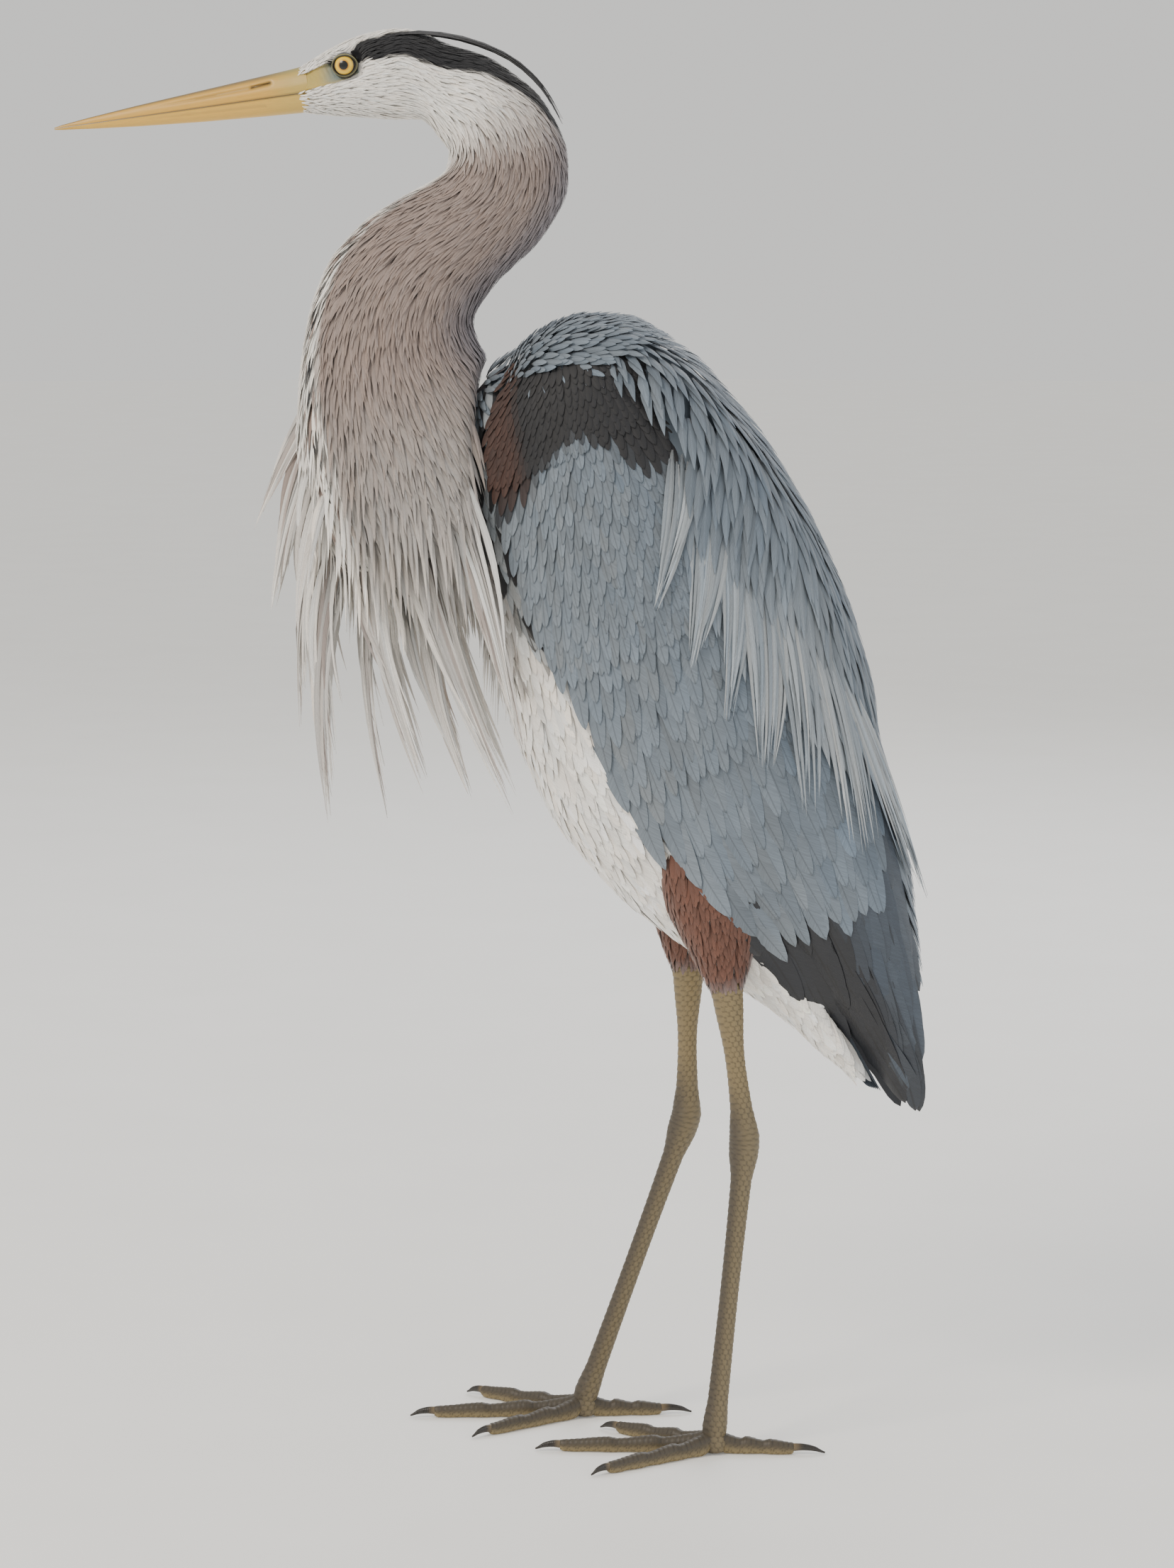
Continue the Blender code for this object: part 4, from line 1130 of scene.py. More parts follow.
grown("coat_back", [vanes(lines, wide, "lance", shown, map_places(hull_sheet, along, around), columns=5,
                          sink=np.interp(run, [290, 404], [5, 16]),
                          lift=rng.uniform(0.1, 0.8, count) + np.interp(run, RUMP, [0, 4]),
                          roll=rng.normal(0, 0.06, count), rows=10, tip=(1.2, 0.6),
                          thick=0.4)], plume)

# %% The long silver plumes over the wings
SCAPULAR_PLUMES = [  # root down the axis and towards the back, then the tip's place
    (86, 60, 150, 6), (108, 64, 190, 9), (128, 68, 228, 12), (148, 74, 264, 18),
    (168, 80, 300, 27), (188, 87, 336, 36), (206, 94, 366, 50), (222, 101, 388, 69),
]
STRANDS = 18
for side in ("left", "right"):
    batches = []
    for root_run, root_back, tip_run, tip_back in SCAPULAR_PLUMES:
        spread = rng.uniform(-1, 1, STRANDS)
        reach = 1 - 0.35 * np.abs(rng.normal(0, 0.5, STRANDS)).clip(0, 1)
        reach[0] = 1.0
        run = root_run + rng.uniform(-16, 10, STRANDS)
        back = root_back + spread * 8 + 2
        to_run = run + (tip_run - run) * reach
        to_back_side = back + (tip_back + spread * 1.8 - back) * reach
        back = np.minimum(back, high_edge(run) - 12)
        to_back_side = np.minimum(to_back_side, high_edge(to_run) - 14)
        length = np.hypot(to_run - run, to_back_side - back)
        turn = np.arctan2(to_back_side - back, to_run - run)
        arch = rng.normal(0.0, 0.06, STRANDS) + 0.10
        lines = wing_lines(side, run, back, length, 14, turn + arch, -2 * arch)
        for _ in range(8):  # a long shaft is stiff and spans small hollows
            for key in ("points", "up", "across"):
                v = lines[key]
                v[:, 1:-1] = (v[:, :-2] + 2 * v[:, 1:-1] + v[:, 2:]) / 4
        colours = varied(blend(BLUE_GREY, PALE_GREY, rng.uniform(0.35, 0.95, STRANDS)), 0.10)
        # the root factor paints a deeper shade on each strand's base, where it leaves the shoulder's feathers
        batches.append(vanes(lines, rng.uniform(1.6, 2.7, STRANDS), "lance", colours, wing_map(run, back),
                             root=0.6, rows=12, sink=0.5, lift=rng.uniform(-4.2, -1.6, STRANDS),
                             roll=rng.normal(0, 0.15, STRANDS), thick=0.5, camber=0.3, tip=(1.15, 0.5),
                             ragged=0.05))
    grown(f"coat_plumes_{side}", batches, plume)

# %% Locks that hang free: the breast's plumes


def lock(root, tip, bow, facing, strands, root_spread, tip_spread):
    """Narrow feathers that leave a root side by side and hang to one tip. The bow is how far their middle
    stands out, and facing the way their flat side looks."""
    root, tip, facing = (np.asarray(v, float) for v in (root, tip, facing))
    across = unit(np.cross(tip - root, facing))
    side = rng.uniform(-1, 1, strands)[:, None]
    starts = root + across * side * root_spread + facing * rng.normal(0, 0.8, strands)[:, None]
    starts = starts + (tip - root) * rng.uniform(-0.10, 0.16, strands)[:, None]
    reach = 1 - 0.45 * (np.abs(side) * rng.uniform(0.5, 1.2, (strands, 1))).clip(0, 1)
    reach[0] = 1.0
    ends = starts + (tip + across * side * tip_spread - starts) * reach
    t = np.linspace(0, 1, 14)[None, :, None]
    points = (starts[:, None] * (1 - t) + ends[:, None] * t + np.asarray(bow) * np.sin(math.pi * t)
              + across * rng.normal(0, 1.4, strands)[:, None, None] * np.sin(math.pi * t))
    return free_lines(points, facing)


BREAST_PLUMES = [  # root x, z and distance from the midline, the tip's, and how far the middle bows out
    (-113, 640, 0, -150, 566, 0, -2), (-111, 622, 12, -139, 517, 14, -5), (-103, 606, 27, -123, 508, 31, -5),
    (-107, 590, 3, -123, 446, 5, -8), (-93, 572, 17, -106, 388, 15, -12), (-83, 552, 0, -70, 389, 0, -8),
    (-79, 562, 36, -46, 408, 32, -8), (-55, 524, 16, -19, 402, 13, -5), (-53, 556, 47, 9, 396, 46, -4),
    (-29, 590, 52, 15, 440, 66, 3),
]
LOCK = 18
batches = []
for x, z, out, to_x, to_z, to_out, bow in BREAST_PLUMES:
    for sign in (1, -1) if out else (1,):
        root, tip = np.array([x, -sign * out, z + 8]), np.array([to_x, -sign * to_out, to_z])
        facing = unit(np.array([-0.5, -sign * (0.35 + out / 26), 0.1]))
        lines = lock(root, tip, (bow, 0, 0), facing, LOCK, 11.0, 1.6)
        shown = blend(LOW_NECK, WHITE, 0.2 + 0.6 * rng.random(LOCK))
        shown = blend(shown, RUFOUS, np.where(rng.random(LOCK) > 0.88, 0.5, 0.0))
        places = np.stack([np.full(LOCK, 0.5 + sign * out / 130), np.full(LOCK, (z - 500) / 200)], -1)
        places += rng.normal(0, 0.012, (LOCK, 2))
        # the root factor paints a deeper shade on each strand's base, where the lock leaves the neck's
        # feathers
        batches.append(vanes(lines, rng.uniform(1.5, 2.6, LOCK), "lance", varied(shown, 0.08), places,
                             rows=12, sink=5.5, lift=0.0, roll=rng.normal(0, 0.4, LOCK), thick=0.55,
                             tip=(1.1, 0.6), ragged=0.05, root=0.62))
grown("coat_breast_plumes", batches, plume)

# %% The fringe: shorter feathers that hang off the lower neck between the plumes


def on_fringe(along, around, points):
    row, angle = along / RING_STEPS, from_back(around, SIDES)
    return (row > 16.0) & (angle > 42) & ~buried(points, body_tree, 2.0)


along, around = strewn(neck_sheet, 5.4, on_fringe)
row, here = along / RING_STEPS, look(neck_sheet["points"], along, around)
up = unit(look(neck_sheet["normals"], along, around))
length = np.interp(row, [16, 19, 21], [32, 50, 46]) * rng.uniform(0.7, 1.25, len(row))
ahead = unit(look(neck_sheet["along"], along, around))
ahead = ahead - (ahead * up).sum(-1, keepdims=True) * up
t = np.linspace(0, 1, 8)[None, :, None]
hang = unit(np.array([0.10, 0, -1.0]) + up * 0.10)
way = unit(ahead[:, None] * (1 - t) ** 2 + hang[:, None] * (0.25 + t))
stride = (length / 7)[:, None, None] * way
points = here[:, None] + np.concatenate([0 * stride[:, :1], np.cumsum(stride[:, :-1], axis=1)], 1)
over = unit(up[:, None] - (up[:, None] * way).sum(-1, keepdims=True) * way)
lines = {"points": points, "up": over, "across": np.cross(way, over), "length": length}
shown = blend(neck_marks(along, around), LOW_NECK, 0.3 * rng.random(len(row)))
shown = blend(shown, WHITE, step(row, 17, 20) * (0.15 + 0.4 * rng.random(len(row))))
grown("coat_fringe", [vanes(lines, rng.uniform(1.7, 2.8, len(row)), "lance", varied(shown, 0.08),
                            map_places(neck_sheet, along, around), rows=9, sink=4.0, lift=0.0,
                            roll=rng.normal(0, 0.25, len(row)), thick=0.45, tip=(1.1, 0.6))], plume)

# %% The crest: black plumes of the nape
CREST = [  # x, z and distance from the midline
    (-73, 862, 9.0), (-49, 864.5, 8.6), (-22, 860.5, 7.6), (5, 849.5, 6.4), (25, 831.5, 5.6), (37, 810, 5.0),
]
CREST_STRANDS, MIDDLE_POINTS, CREST_POINTS = 14, 22, 16
numbers = np.arange(MIDDLE_POINTS)
batches = []
for sign in (1, -1):
    middle = eased(np.array([(x, -sign * out, z) for x, z, out in CREST]), np.linspace(0, 5, MIDDLE_POINTS))
    first = rng.uniform(0, 4, CREST_STRANDS)
    last = MIDDLE_POINTS - 1 - rng.uniform(0, 6, CREST_STRANDS)
    first[0], last[0] = 0, MIDDLE_POINTS - 1
    at = np.linspace(first, last, CREST_POINTS, axis=1)
    points = np.stack([np.interp(at, numbers, middle[:, k]) for k in range(3)], -1)
    sideways = rng.uniform(-3.0, 3.0, CREST_STRANDS)[:, None]
    points[..., 1] += sideways * np.linspace(1, 0.5, CREST_POINTS)
    raised = rng.uniform(-1.0, 1.4, CREST_STRANDS)[:, None]
    points[..., 2] += raised * np.linspace(0.3, 1.6, CREST_POINTS)
    ahead = unit(np.gradient(points, axis=1))
    upright = unit(np.cross(ahead, [0.0, 1.0, 0.0]))
    upright *= np.sign(upright[:, :, 2:3].mean(1, keepdims=True))
    lines = free_lines(points, unit(upright + np.array([0, -0.5 * sign, 0])))
    places = np.stack([np.full(CREST_STRANDS, 0.5 + 0.3 * sign), np.linspace(0.2, 0.8, CREST_STRANDS)], -1)
    wide = rng.uniform(1.0, 1.8, CREST_STRANDS)
    shown = varied(np.tile(BLACK, (CREST_STRANDS, 1)), 0.1)
    batches.append(vanes(lines, wide, "lance", shown, places, rows=14, sink=1.5,
                         lift=rng.uniform(-1.2, 0.0, CREST_STRANDS), roll=rng.normal(0, 0.3, CREST_STRANDS),
                         thick=0.4, ragged=0.05))
crest = grown("coat_crest", batches, plume)
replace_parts(crest, "crest_left", "crest_right")

# %% [markdown]
# ## The tail
# A heron's tail is short: twelve broad grey feathers, stacked like a closed fan under the wing tips.

# %% Tail feathers
TAIL_FEATHERS = 12
order = np.arange(TAIL_FEATHERS)
share = (order - (TAIL_FEATHERS - 1) / 2) / (TAIL_FEATHERS / 2)
spread = np.array([0, 1, 0]) * (share * 9)[:, None]
roots = body_at(np.full(TAIL_FEATHERS, 372.0), np.full(TAIL_FEATHERS, -13.0)) + spread
tips = body_at(487 - 8 * np.abs(share), np.full(TAIL_FEATHERS, -9.0)) + spread
t = np.linspace(0, 1, 14)[None, :, None]
points = roots[:, None] * (1 - t) + tips[:, None] * t
points = points + to_back * ((3.4 - 6.2 * np.abs(share)) * 0.9)[:, None, None]
lines = free_lines(points, unit(to_back + np.array([0, 0.35, 0]) * share[:, None, None] + 0 * points))
shown = varied(np.tile(SLATE, (TAIL_FEATHERS, 1)), 0.05)
places = np.stack([0.5 + share * 0.3, np.full(TAIL_FEATHERS, 0.5)], -1)
grown("coat_tail", [vanes(lines, 9.0, "flight", shown, places, columns=7, sink=0.0, lift=0.0, rows=14,
                          thick=0.6, camber=0.12, ragged=0.02, tip=(0.85, 0.75))], flight)

# %% [markdown]
# ## One skin under the whole coat
# The skin is what the feathers grow from. It is made from the same sheets, each drawn in by the depth of the
# coat there: about a millimetre on the face, five to eight on the body. The parts are melted into one closed
# surface, so that no seam shows, and smoothed. Only the face is then cut finer and shaped by given forms,
# because bare skin shows there: the hollow between bill and eye, the brow, the gape and the ring of the eye.

# %% Draw the sheets in and melt them into one
SKIN_VOXEL = 3.2


def drawn_in(sheet, depth, rings=slice(None), narrowing=None):
    """A sheet moved inwards and closed at both ends, as points and faces."""
    points = (sheet["points"] - sheet["normals"] * np.asarray(depth).reshape(-1, 1, 1))[rings]
    if narrowing is not None:
        middle = points.mean(1, keepdims=True)
        points = middle + (points - middle) * narrowing[rings].reshape(-1, 1, 1)
    return points.reshape(-1, 3), tube_faces(*points.shape[:2])


def smoothed(points, faces, times):
    """Points of a mesh drawn towards the middle of their neighbours."""
    pairs = np.concatenate([np.stack([faces[:, k], faces[:, (k + 1) % 4]], 1) for k in range(4)])
    pairs = np.unique(np.concatenate([pairs, pairs[:, ::-1]]), axis=0)
    counts = np.bincount(pairs[:, 0], minlength=len(points))[:, None]
    for _ in range(times):
        near = points[pairs[:, 1]]
        total = np.stack([np.bincount(pairs[:, 0], near[:, axis], len(points)) for axis in range(3)], 1)
        points = points + 0.6 * (total / np.maximum(counts, 1) - points)
    return points


neck_rows = np.arange(neck_sheet["points"].shape[0]) / RING_STEPS
hull_narrowing = np.interp(hull_along, [300, 430], [1.0, 0.3])  # the hull ends inside the rump
pieces_of_skin = [
    drawn_in(neck_sheet, np.interp(neck_rows, [0, 3, 5, 8, 12, 20], [0.9, 1.2, 1.8, 3.4, 5.0, 7.0])),
    drawn_in(hull_sheet, 8.5, hull_along < 425, hull_narrowing),
    drawn_in(trunk_sheet, 5.0, trunk_along < 405),
] + [drawn_in(thigh_sheets[side], 3.2) for side in LEGS]
skin_points, skin_faces = remeshed(pieces_of_skin, SKIN_VOXEL)
skin_points = smoothed(skin_points, skin_faces, 10)
print("skin:", len(skin_faces), "faces before the face is cut finer")

# %% Cut the face finer and shape it
import bmesh

skin_mesh = bpy.data.meshes.new("skin")
skin_mesh.from_pydata(skin_points * MM, [], skin_faces.tolist())
cutting = bmesh.new()
cutting.from_mesh(skin_mesh)
for reach, cuts in ((62.0, 2), (44.0, 1)):
    in_face = [f for f in cutting.faces
               if head_place(np.array(f.calc_center_median()) / MM)[0] < reach
               and f.calc_center_median().z / MM > 800]
    edges = {e for f in in_face for e in f.edges}
    bmesh.ops.subdivide_edges(cutting, edges=list(edges), cuts=cuts, use_grid_fill=True, smooth=0.0)
bmesh.ops.triangulate(cutting, faces=[f for f in cutting.faces if len(f.verts) > 4])
bmesh.ops.recalc_face_normals(cutting, faces=cutting.faces)
face_verts = [v for v in cutting.verts if head_place(np.array(v.co) / MM)[0] < 60 and v.co.z > 0.8]
axes = {"use_axis_x": True, "use_axis_y": True, "use_axis_z": True}
for _ in range(5):
    bmesh.ops.smooth_vert(cutting, verts=face_verts, factor=0.5, **axes)
cutting.normal_update()


def near_line(behind, up, line, width):
    """How close places are to a line of (behind, up) points: 1 on it, falling away over a width."""
    line = np.array(line, float)
    gap = np.full(np.shape(behind), 1e9)
    for start, end in zip(line[:-1], line[1:]):
        run = end - start
        share = np.clip(((behind - start[0]) * run[0] + (up - start[1]) * run[1]) / (run @ run), 0, 1)
        gap = np.minimum(gap, np.hypot(behind - start[0] - share * run[0], up - start[1] - share * run[1]))
    return np.exp(-((gap / width) ** 2))


GAPE = [(-4, -0.2), (8, 0.2), (22, 1.2), (33, 2.6), (39, 4.4)]
face_at = np.array([v.co for v in face_verts]) / MM
behind, up = head_place(face_at)
on_side = step(np.abs(face_at[:, 1]), 4, 8)
from_eye = np.hypot(behind - EYE_BACK, up - EYE_UP)
relief = -1.1 * np.exp(-(((behind - 17) / 9.5) ** 2) - ((up - 9.5) / 4.2) ** 2)  # the hollow before the eye
relief += 1.5 * near_line(behind, up, [(15, 16.0), (27, 20.0), (42, 20.5)], 2.4)  # the brow
relief += -0.9 * near_line(behind, up, GAPE, 0.8) + 0.35 * near_line(behind, up - 1.9, GAPE, 1.0)
relief += 0.55 * np.exp(-(((from_eye - 7.2) / 0.75) ** 2)) - 3.2 * step(-from_eye, -6.2, -5.4)
relief += 0.12 * np.sin(behind * 2.1 + 0.7 * up) * near_line(behind, up, [(6, 7), (24, 11)], 4.0)
for v, lift, side_share in zip(face_verts, relief, on_side):
    v.co += v.normal * float(lift * side_share) * MM
cutting.to_mesh(skin_mesh)
cutting.free()

# %% Colour the skin by the same marking functions
sheets = ((neck_sheet, neck_marks), (trunk_sheet, trunk_marks), (hull_sheet, hull_marks))
marks = []
for sheet, marking in sheets:
    rings, sides = sheet["points"].shape[:2]
    k, i = np.meshgrid(np.arange(rings), np.arange(sides), indexing="ij")
    marks.append(marking(k.ravel().astype(float), i.ravel().astype(float)))
crowd = crowd_of(np.concatenate([sheet["points"].reshape(-1, 3) for sheet, _ in sheets]))
marks = np.concatenate(marks)
skin_at = np.array([v.co for v in skin_mesh.vertices]) / MM
colours = marks[[crowd.find(p)[1] for p in skin_at]] * 0.8
behind, up = head_place(skin_at)
LORE_OLIVE, LORE_BLUE, GAPE_YELLOW = paint("#b9a45c"), paint("#7f8f8c"), paint("#cfae55")
lore = blend(LORE_OLIVE, LORE_BLUE, step(behind, 14, 28))
lore = blend(lore, GAPE_YELLOW, near_line(behind, up, GAPE, 2.2) * 0.8)
bare = bare_face(skin_at, -0.6) & (skin_at[:, 2] > 805)
colours = np.where(bare[:, None], lore, colours)
painted(skin_mesh, "Plumage", colours)

under_skin, tree, shader = new_material("skin under the feathers", Roughness=0.8, IOR=1.4)
tree.links.new(stored(tree, "colour", "Plumage"), shader.inputs["Base Color"])
bare_skin, tree, shader = new_material("bare skin of the face", Roughness=0.42, IOR=1.4,
                                       Subsurface_Weight=0.1, Subsurface_Scale=0.001)
pebbles = node(tree, "TexVoronoi", Scale=1400.0)  # scales of about 0.7 mm
shade = ranged(tree, pebbles.outputs["Distance"], 0.0, 0.7, 0.8, 1.12)
tree.links.new(scaled(tree, stored(tree, "colour", "Plumage"), shade), shader.inputs["Base Color"])
bumped(tree, shader, pebbles.outputs["Distance"], 0.6, 0.25 * MM, invert=True)

skin_mesh.materials.append(under_skin)
skin_mesh.materials.append(bare_skin)
for polygon in skin_mesh.polygons:
    polygon.material_index = int(all(bare[v] for v in polygon.vertices))
skin_mesh.shade_smooth()
skin = placed("skin", skin_mesh)
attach(skin, "root")
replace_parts(skin, *FLESH)
print("skin:", len(skin_mesh.polygons), "faces,", int(bare.sum()), "points bare")

# %% [markdown]
# ## Horn, scale and eye: pieces that no feather covers
# The bill, eyes, legs and claws are smooth closed surfaces. One function makes such a surface from rings of
# points. It also keeps how far each point lies around and along the piece, in millimetres, so that grain can
# run the right way, and a tint for each point.

# %% A closed surface from rings of points


def surfaced(name, rings, material, tint, crease=180.0):
    """A piece with a smooth closed surface. Edges that turn by more than the crease's degrees stay sharp."""
    rows, sides = rings.shape[:2]
    mesh = bpy.data.meshes.new(name)
    mesh.from_pydata(rings.reshape(-1, 3) * MM, [], tube_faces(rows, sides))
    cleaner = bmesh.new()
    cleaner.from_mesh(mesh)
    bmesh.ops.recalc_face_normals(cleaner, faces=cleaner.faces)
    cleaner.to_mesh(mesh)
    cleaner.free()
    steps_along = np.linalg.norm(np.diff(rings.mean(1), axis=0), axis=-1)
    along = np.concatenate([[0], np.cumsum(steps_along)])[:, None] + np.zeros((rows, sides))
    steps_around = np.linalg.norm(np.roll(rings, -1, 1) - rings, axis=-1)
    around = np.cumsum(steps_around, axis=1) - steps_around
    corners = np.array([c.vertex_index for c in mesh.loops])
    grain = np.stack([around, along], -1).reshape(-1, 2)[corners]
    mesh.uv_layers.new(name="Grain").data.foreach_set("uv", grain.astype(np.float32).ravel())
    painted(mesh, "Tint", np.broadcast_to(tint, rings.shape).reshape(-1, 3))
    mesh.shade_smooth()
    mesh.set_sharp_from_angle(angle=math.radians(crease))
    mesh.materials.append(material)
    piece = placed(name, mesh)
    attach(piece, "root")
    return piece


def grained(tree, scale, **values):
    """Noise with its grain scaled across and along a piece."""
    place = node(tree, "Mapping", (), {"Vector": stored(tree, "map", "Grain")}, Scale=scale)
    noise = node(tree, "TexNoise", (), {"Vector": place.outputs[0]}, Scale=1.0, **values)
    return noise.outputs["Fac"]


def tinted_material(name, grain_size, stretch, contrast, bump_depth, **values):
    """A material that takes its points' tint, darkened and roughened by grain stretched along the piece."""
    made, tree, shader = new_material(name, **values)
    grain = grained(tree, (1 / grain_size, 1 / (grain_size * stretch), 1), Detail=4.0, Roughness=0.6)
    shade = ranged(tree, grain, 0.3, 0.7, 1 - contrast, 1 + contrast)
    tree.links.new(scaled(tree, stored(tree, "colour", "Tint"), shade), shader.inputs["Base Color"])
    rough = values["Roughness"]
    tree.links.new(ranged(tree, grain, 0.3, 0.7, rough - 0.07, rough + 0.1), shader.inputs["Roughness"])
    bumped(tree, shader, grain, 0.5, bump_depth * MM)
    return made


horn = tinted_material("bill keratin, smooth and yellow", 0.5, 14.0, 0.07, 0.06, Roughness=0.36, IOR=1.55,
                       Subsurface_Weight=0.08, Subsurface_Scale=0.001)
print("made", horn.name)

# %% [markdown]
# ## The bill
# A bill is bone in a sheath of horn that grows from its base, so fine lines run along it. It is a dagger: a
# ridge on top, flat sides, and a shallow groove along each side that starts at the slit of the nostril. The
# groove and the slit are painted darker, a painted shade in them. The upper half overhangs the lower by a
# hair, which draws the dark line of the mouth, and the edges along that line are painted darker too, a
# painted shade between the halves.

# %% Both halves of the bill
BILL_LENGTH = 146
BILL_SIZES = [  # share of the length from the tip, height above the mouth, depth below it, half width
    (0.0, 0.5, 0.5, 0.5), (0.035, 1.5, 1.3, 1.1), (0.15, 3.6, 3.0, 2.4), (0.35, 6.6, 5.6, 4.2),
    (0.6, 9.8, 8.2, 6.2), (0.85, 13.0, 10.2, 8.2), (1.0, 15.0, 11.2, 9.6), (1.06, 16.0, 11.4, 10.4),
]
CULMEN, BILL_SIDE, BILL_LOWER, NOSTRIL_SHADE = (paint(c) for c in ("#6a5a3c", "#d0a245", "#d8ab4a", "#2c241b"))
MOUTH_GAP = 0.22
LOWER_WIDTH = 0.955  # of the upper half's


def bill_half(upper):
    """Rings of points for one half of the bill, from its tip, and their tints."""
    share = np.linspace(0.001, 1, 170) ** 1.3 * 1.06
    at, above, below, half = zip(*BILL_SIZES)
    height = np.interp(share, at, above if upper else below)
    half = np.interp(share, at, half) * (1 if upper else LOWER_WIDTH)
    angle = np.linspace(0, math.pi, 41)
    out = np.cos(angle) * np.ones((len(share), 1))
    up = np.maximum(np.sin(angle), 0) ** 0.9 * np.ones((len(share), 1))
    inner = np.linspace(-0.92, 0.92, 9)  # the mouth's side, hollow in the middle
    out = np.concatenate([out, inner * np.ones((len(share), 1))], 1)
    up = np.concatenate([up, 0.06 * (1 - inner**2) * np.ones((len(share), 1))], 1)
    behind = (-BILL_LENGTH * (1 - share))[:, None] + 0 * out
    side = np.abs(out) > 0.12
    rise = up.copy()
    up = MOUTH_GAP / 2 + height[:, None] * up
    across = half[:, None] * out
    if upper:
        groove = near_line(behind, rise, [(-95, 0.53), (-60, 0.55), (-26, 0.56)], 0.085)
        groove = groove * step(behind, -95, -50)
        slit = near_line(behind, rise * 12, [(-25, 6.9), (-13.5, 7.4)], 0.85)
        fold = 0.30 * np.exp(-(((rise - 0.30) / 0.12) ** 2)) * step(behind, -60, -20)
        cut = 0.75 * groove + 1.5 * slit - fold
    else:
        groove = near_line(behind, rise, [(-100, 0.35), (-18, 0.42)], 0.09) * step(behind, -100, -60)
        cut = 0.40 * groove
    cut = cut * side * (rise > 0.08)
    across = across - np.sign(out) * cut
    tip = step(share, 0.16, 0.0)[:, None]
    if upper:
        tint = blend(BILL_SIDE, CULMEN, step(rise, 0.74, 0.97) * 0.9 + 0.25 * tip)
        tint = blend(tint, paint("#a9a05c"), step(behind, -22, 4) * 0.55)
        # painted shade: the groove is darkened towards the culmen's colour
        tint = blend(tint, CULMEN, 0.35 * groove)
        # painted shade: the nostril's slit is painted nearly black, the dark inside of the opening
        tint = blend(tint, NOSTRIL_SHADE, slit * 0.95)
    else:
        tint = blend(BILL_LOWER, paint("#b9a458"), step(behind, -30, 2) * 0.5)
        # painted shade in the lower groove, and the tip's own darker colour
        tint = blend(tint, CULMEN, 0.22 * groove + 0.2 * tip)
    # painted shade: both halves darken along their edges, where they meet in the mouth line
    tint = blend(tint, CULMEN * 0.6, step(-rise, -0.05, 0.0) * 0.7)
    return head_at(behind, up if upper else -up, across), tint


for name, upper in (("bill_upper", True), ("bill_lower", False)):
    rings, tint = bill_half(upper)
    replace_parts(surfaced(name + "_sheath", rings, horn, tint, 42.0), name)
print("bill length", BILL_LENGTH, "mm")

# %% [markdown]
# ## The eyes
# A heron's eye is a round ball with a yellow iris and a round black pupil, and sits in a ring of bare lids.
# A clear wet layer over it takes the light, which the shader's coat stands for. The iris has fine spokes.

# %% Eyeballs and lids
EYE_RADIUS, EYE_OUT = 8.2, 12.4
PUPIL, IRIS, LIMBUS = 18.5, 42.0, 47.0  # degrees from the middle of the eye
LIDS = ((0.22, 0.10, 0.40, "#37352a"), (-0.10, 0.95, 0.62, "#7d7a57"))  # lift, spread, thickness, colour

eye_matter, tree, shader = new_material("eye with a wet clear cornea", Roughness=0.35, IOR=1.38,
                                        Coat_Weight=1.0, Coat_Roughness=0.02, Coat_IOR=1.38)
fibre = ranged(tree, grained(tree, (5.0, 0.5, 1), Detail=3.0), 0.3, 0.7, 0.8, 1.15)
tree.links.new(scaled(tree, stored(tree, "colour", "Tint"), fibre), shader.inputs["Base Color"])
lid_skin = tinted_material("bare eyelid skin", 0.5, 1.0, 0.15, 0.12, Roughness=0.45, IOR=1.4)

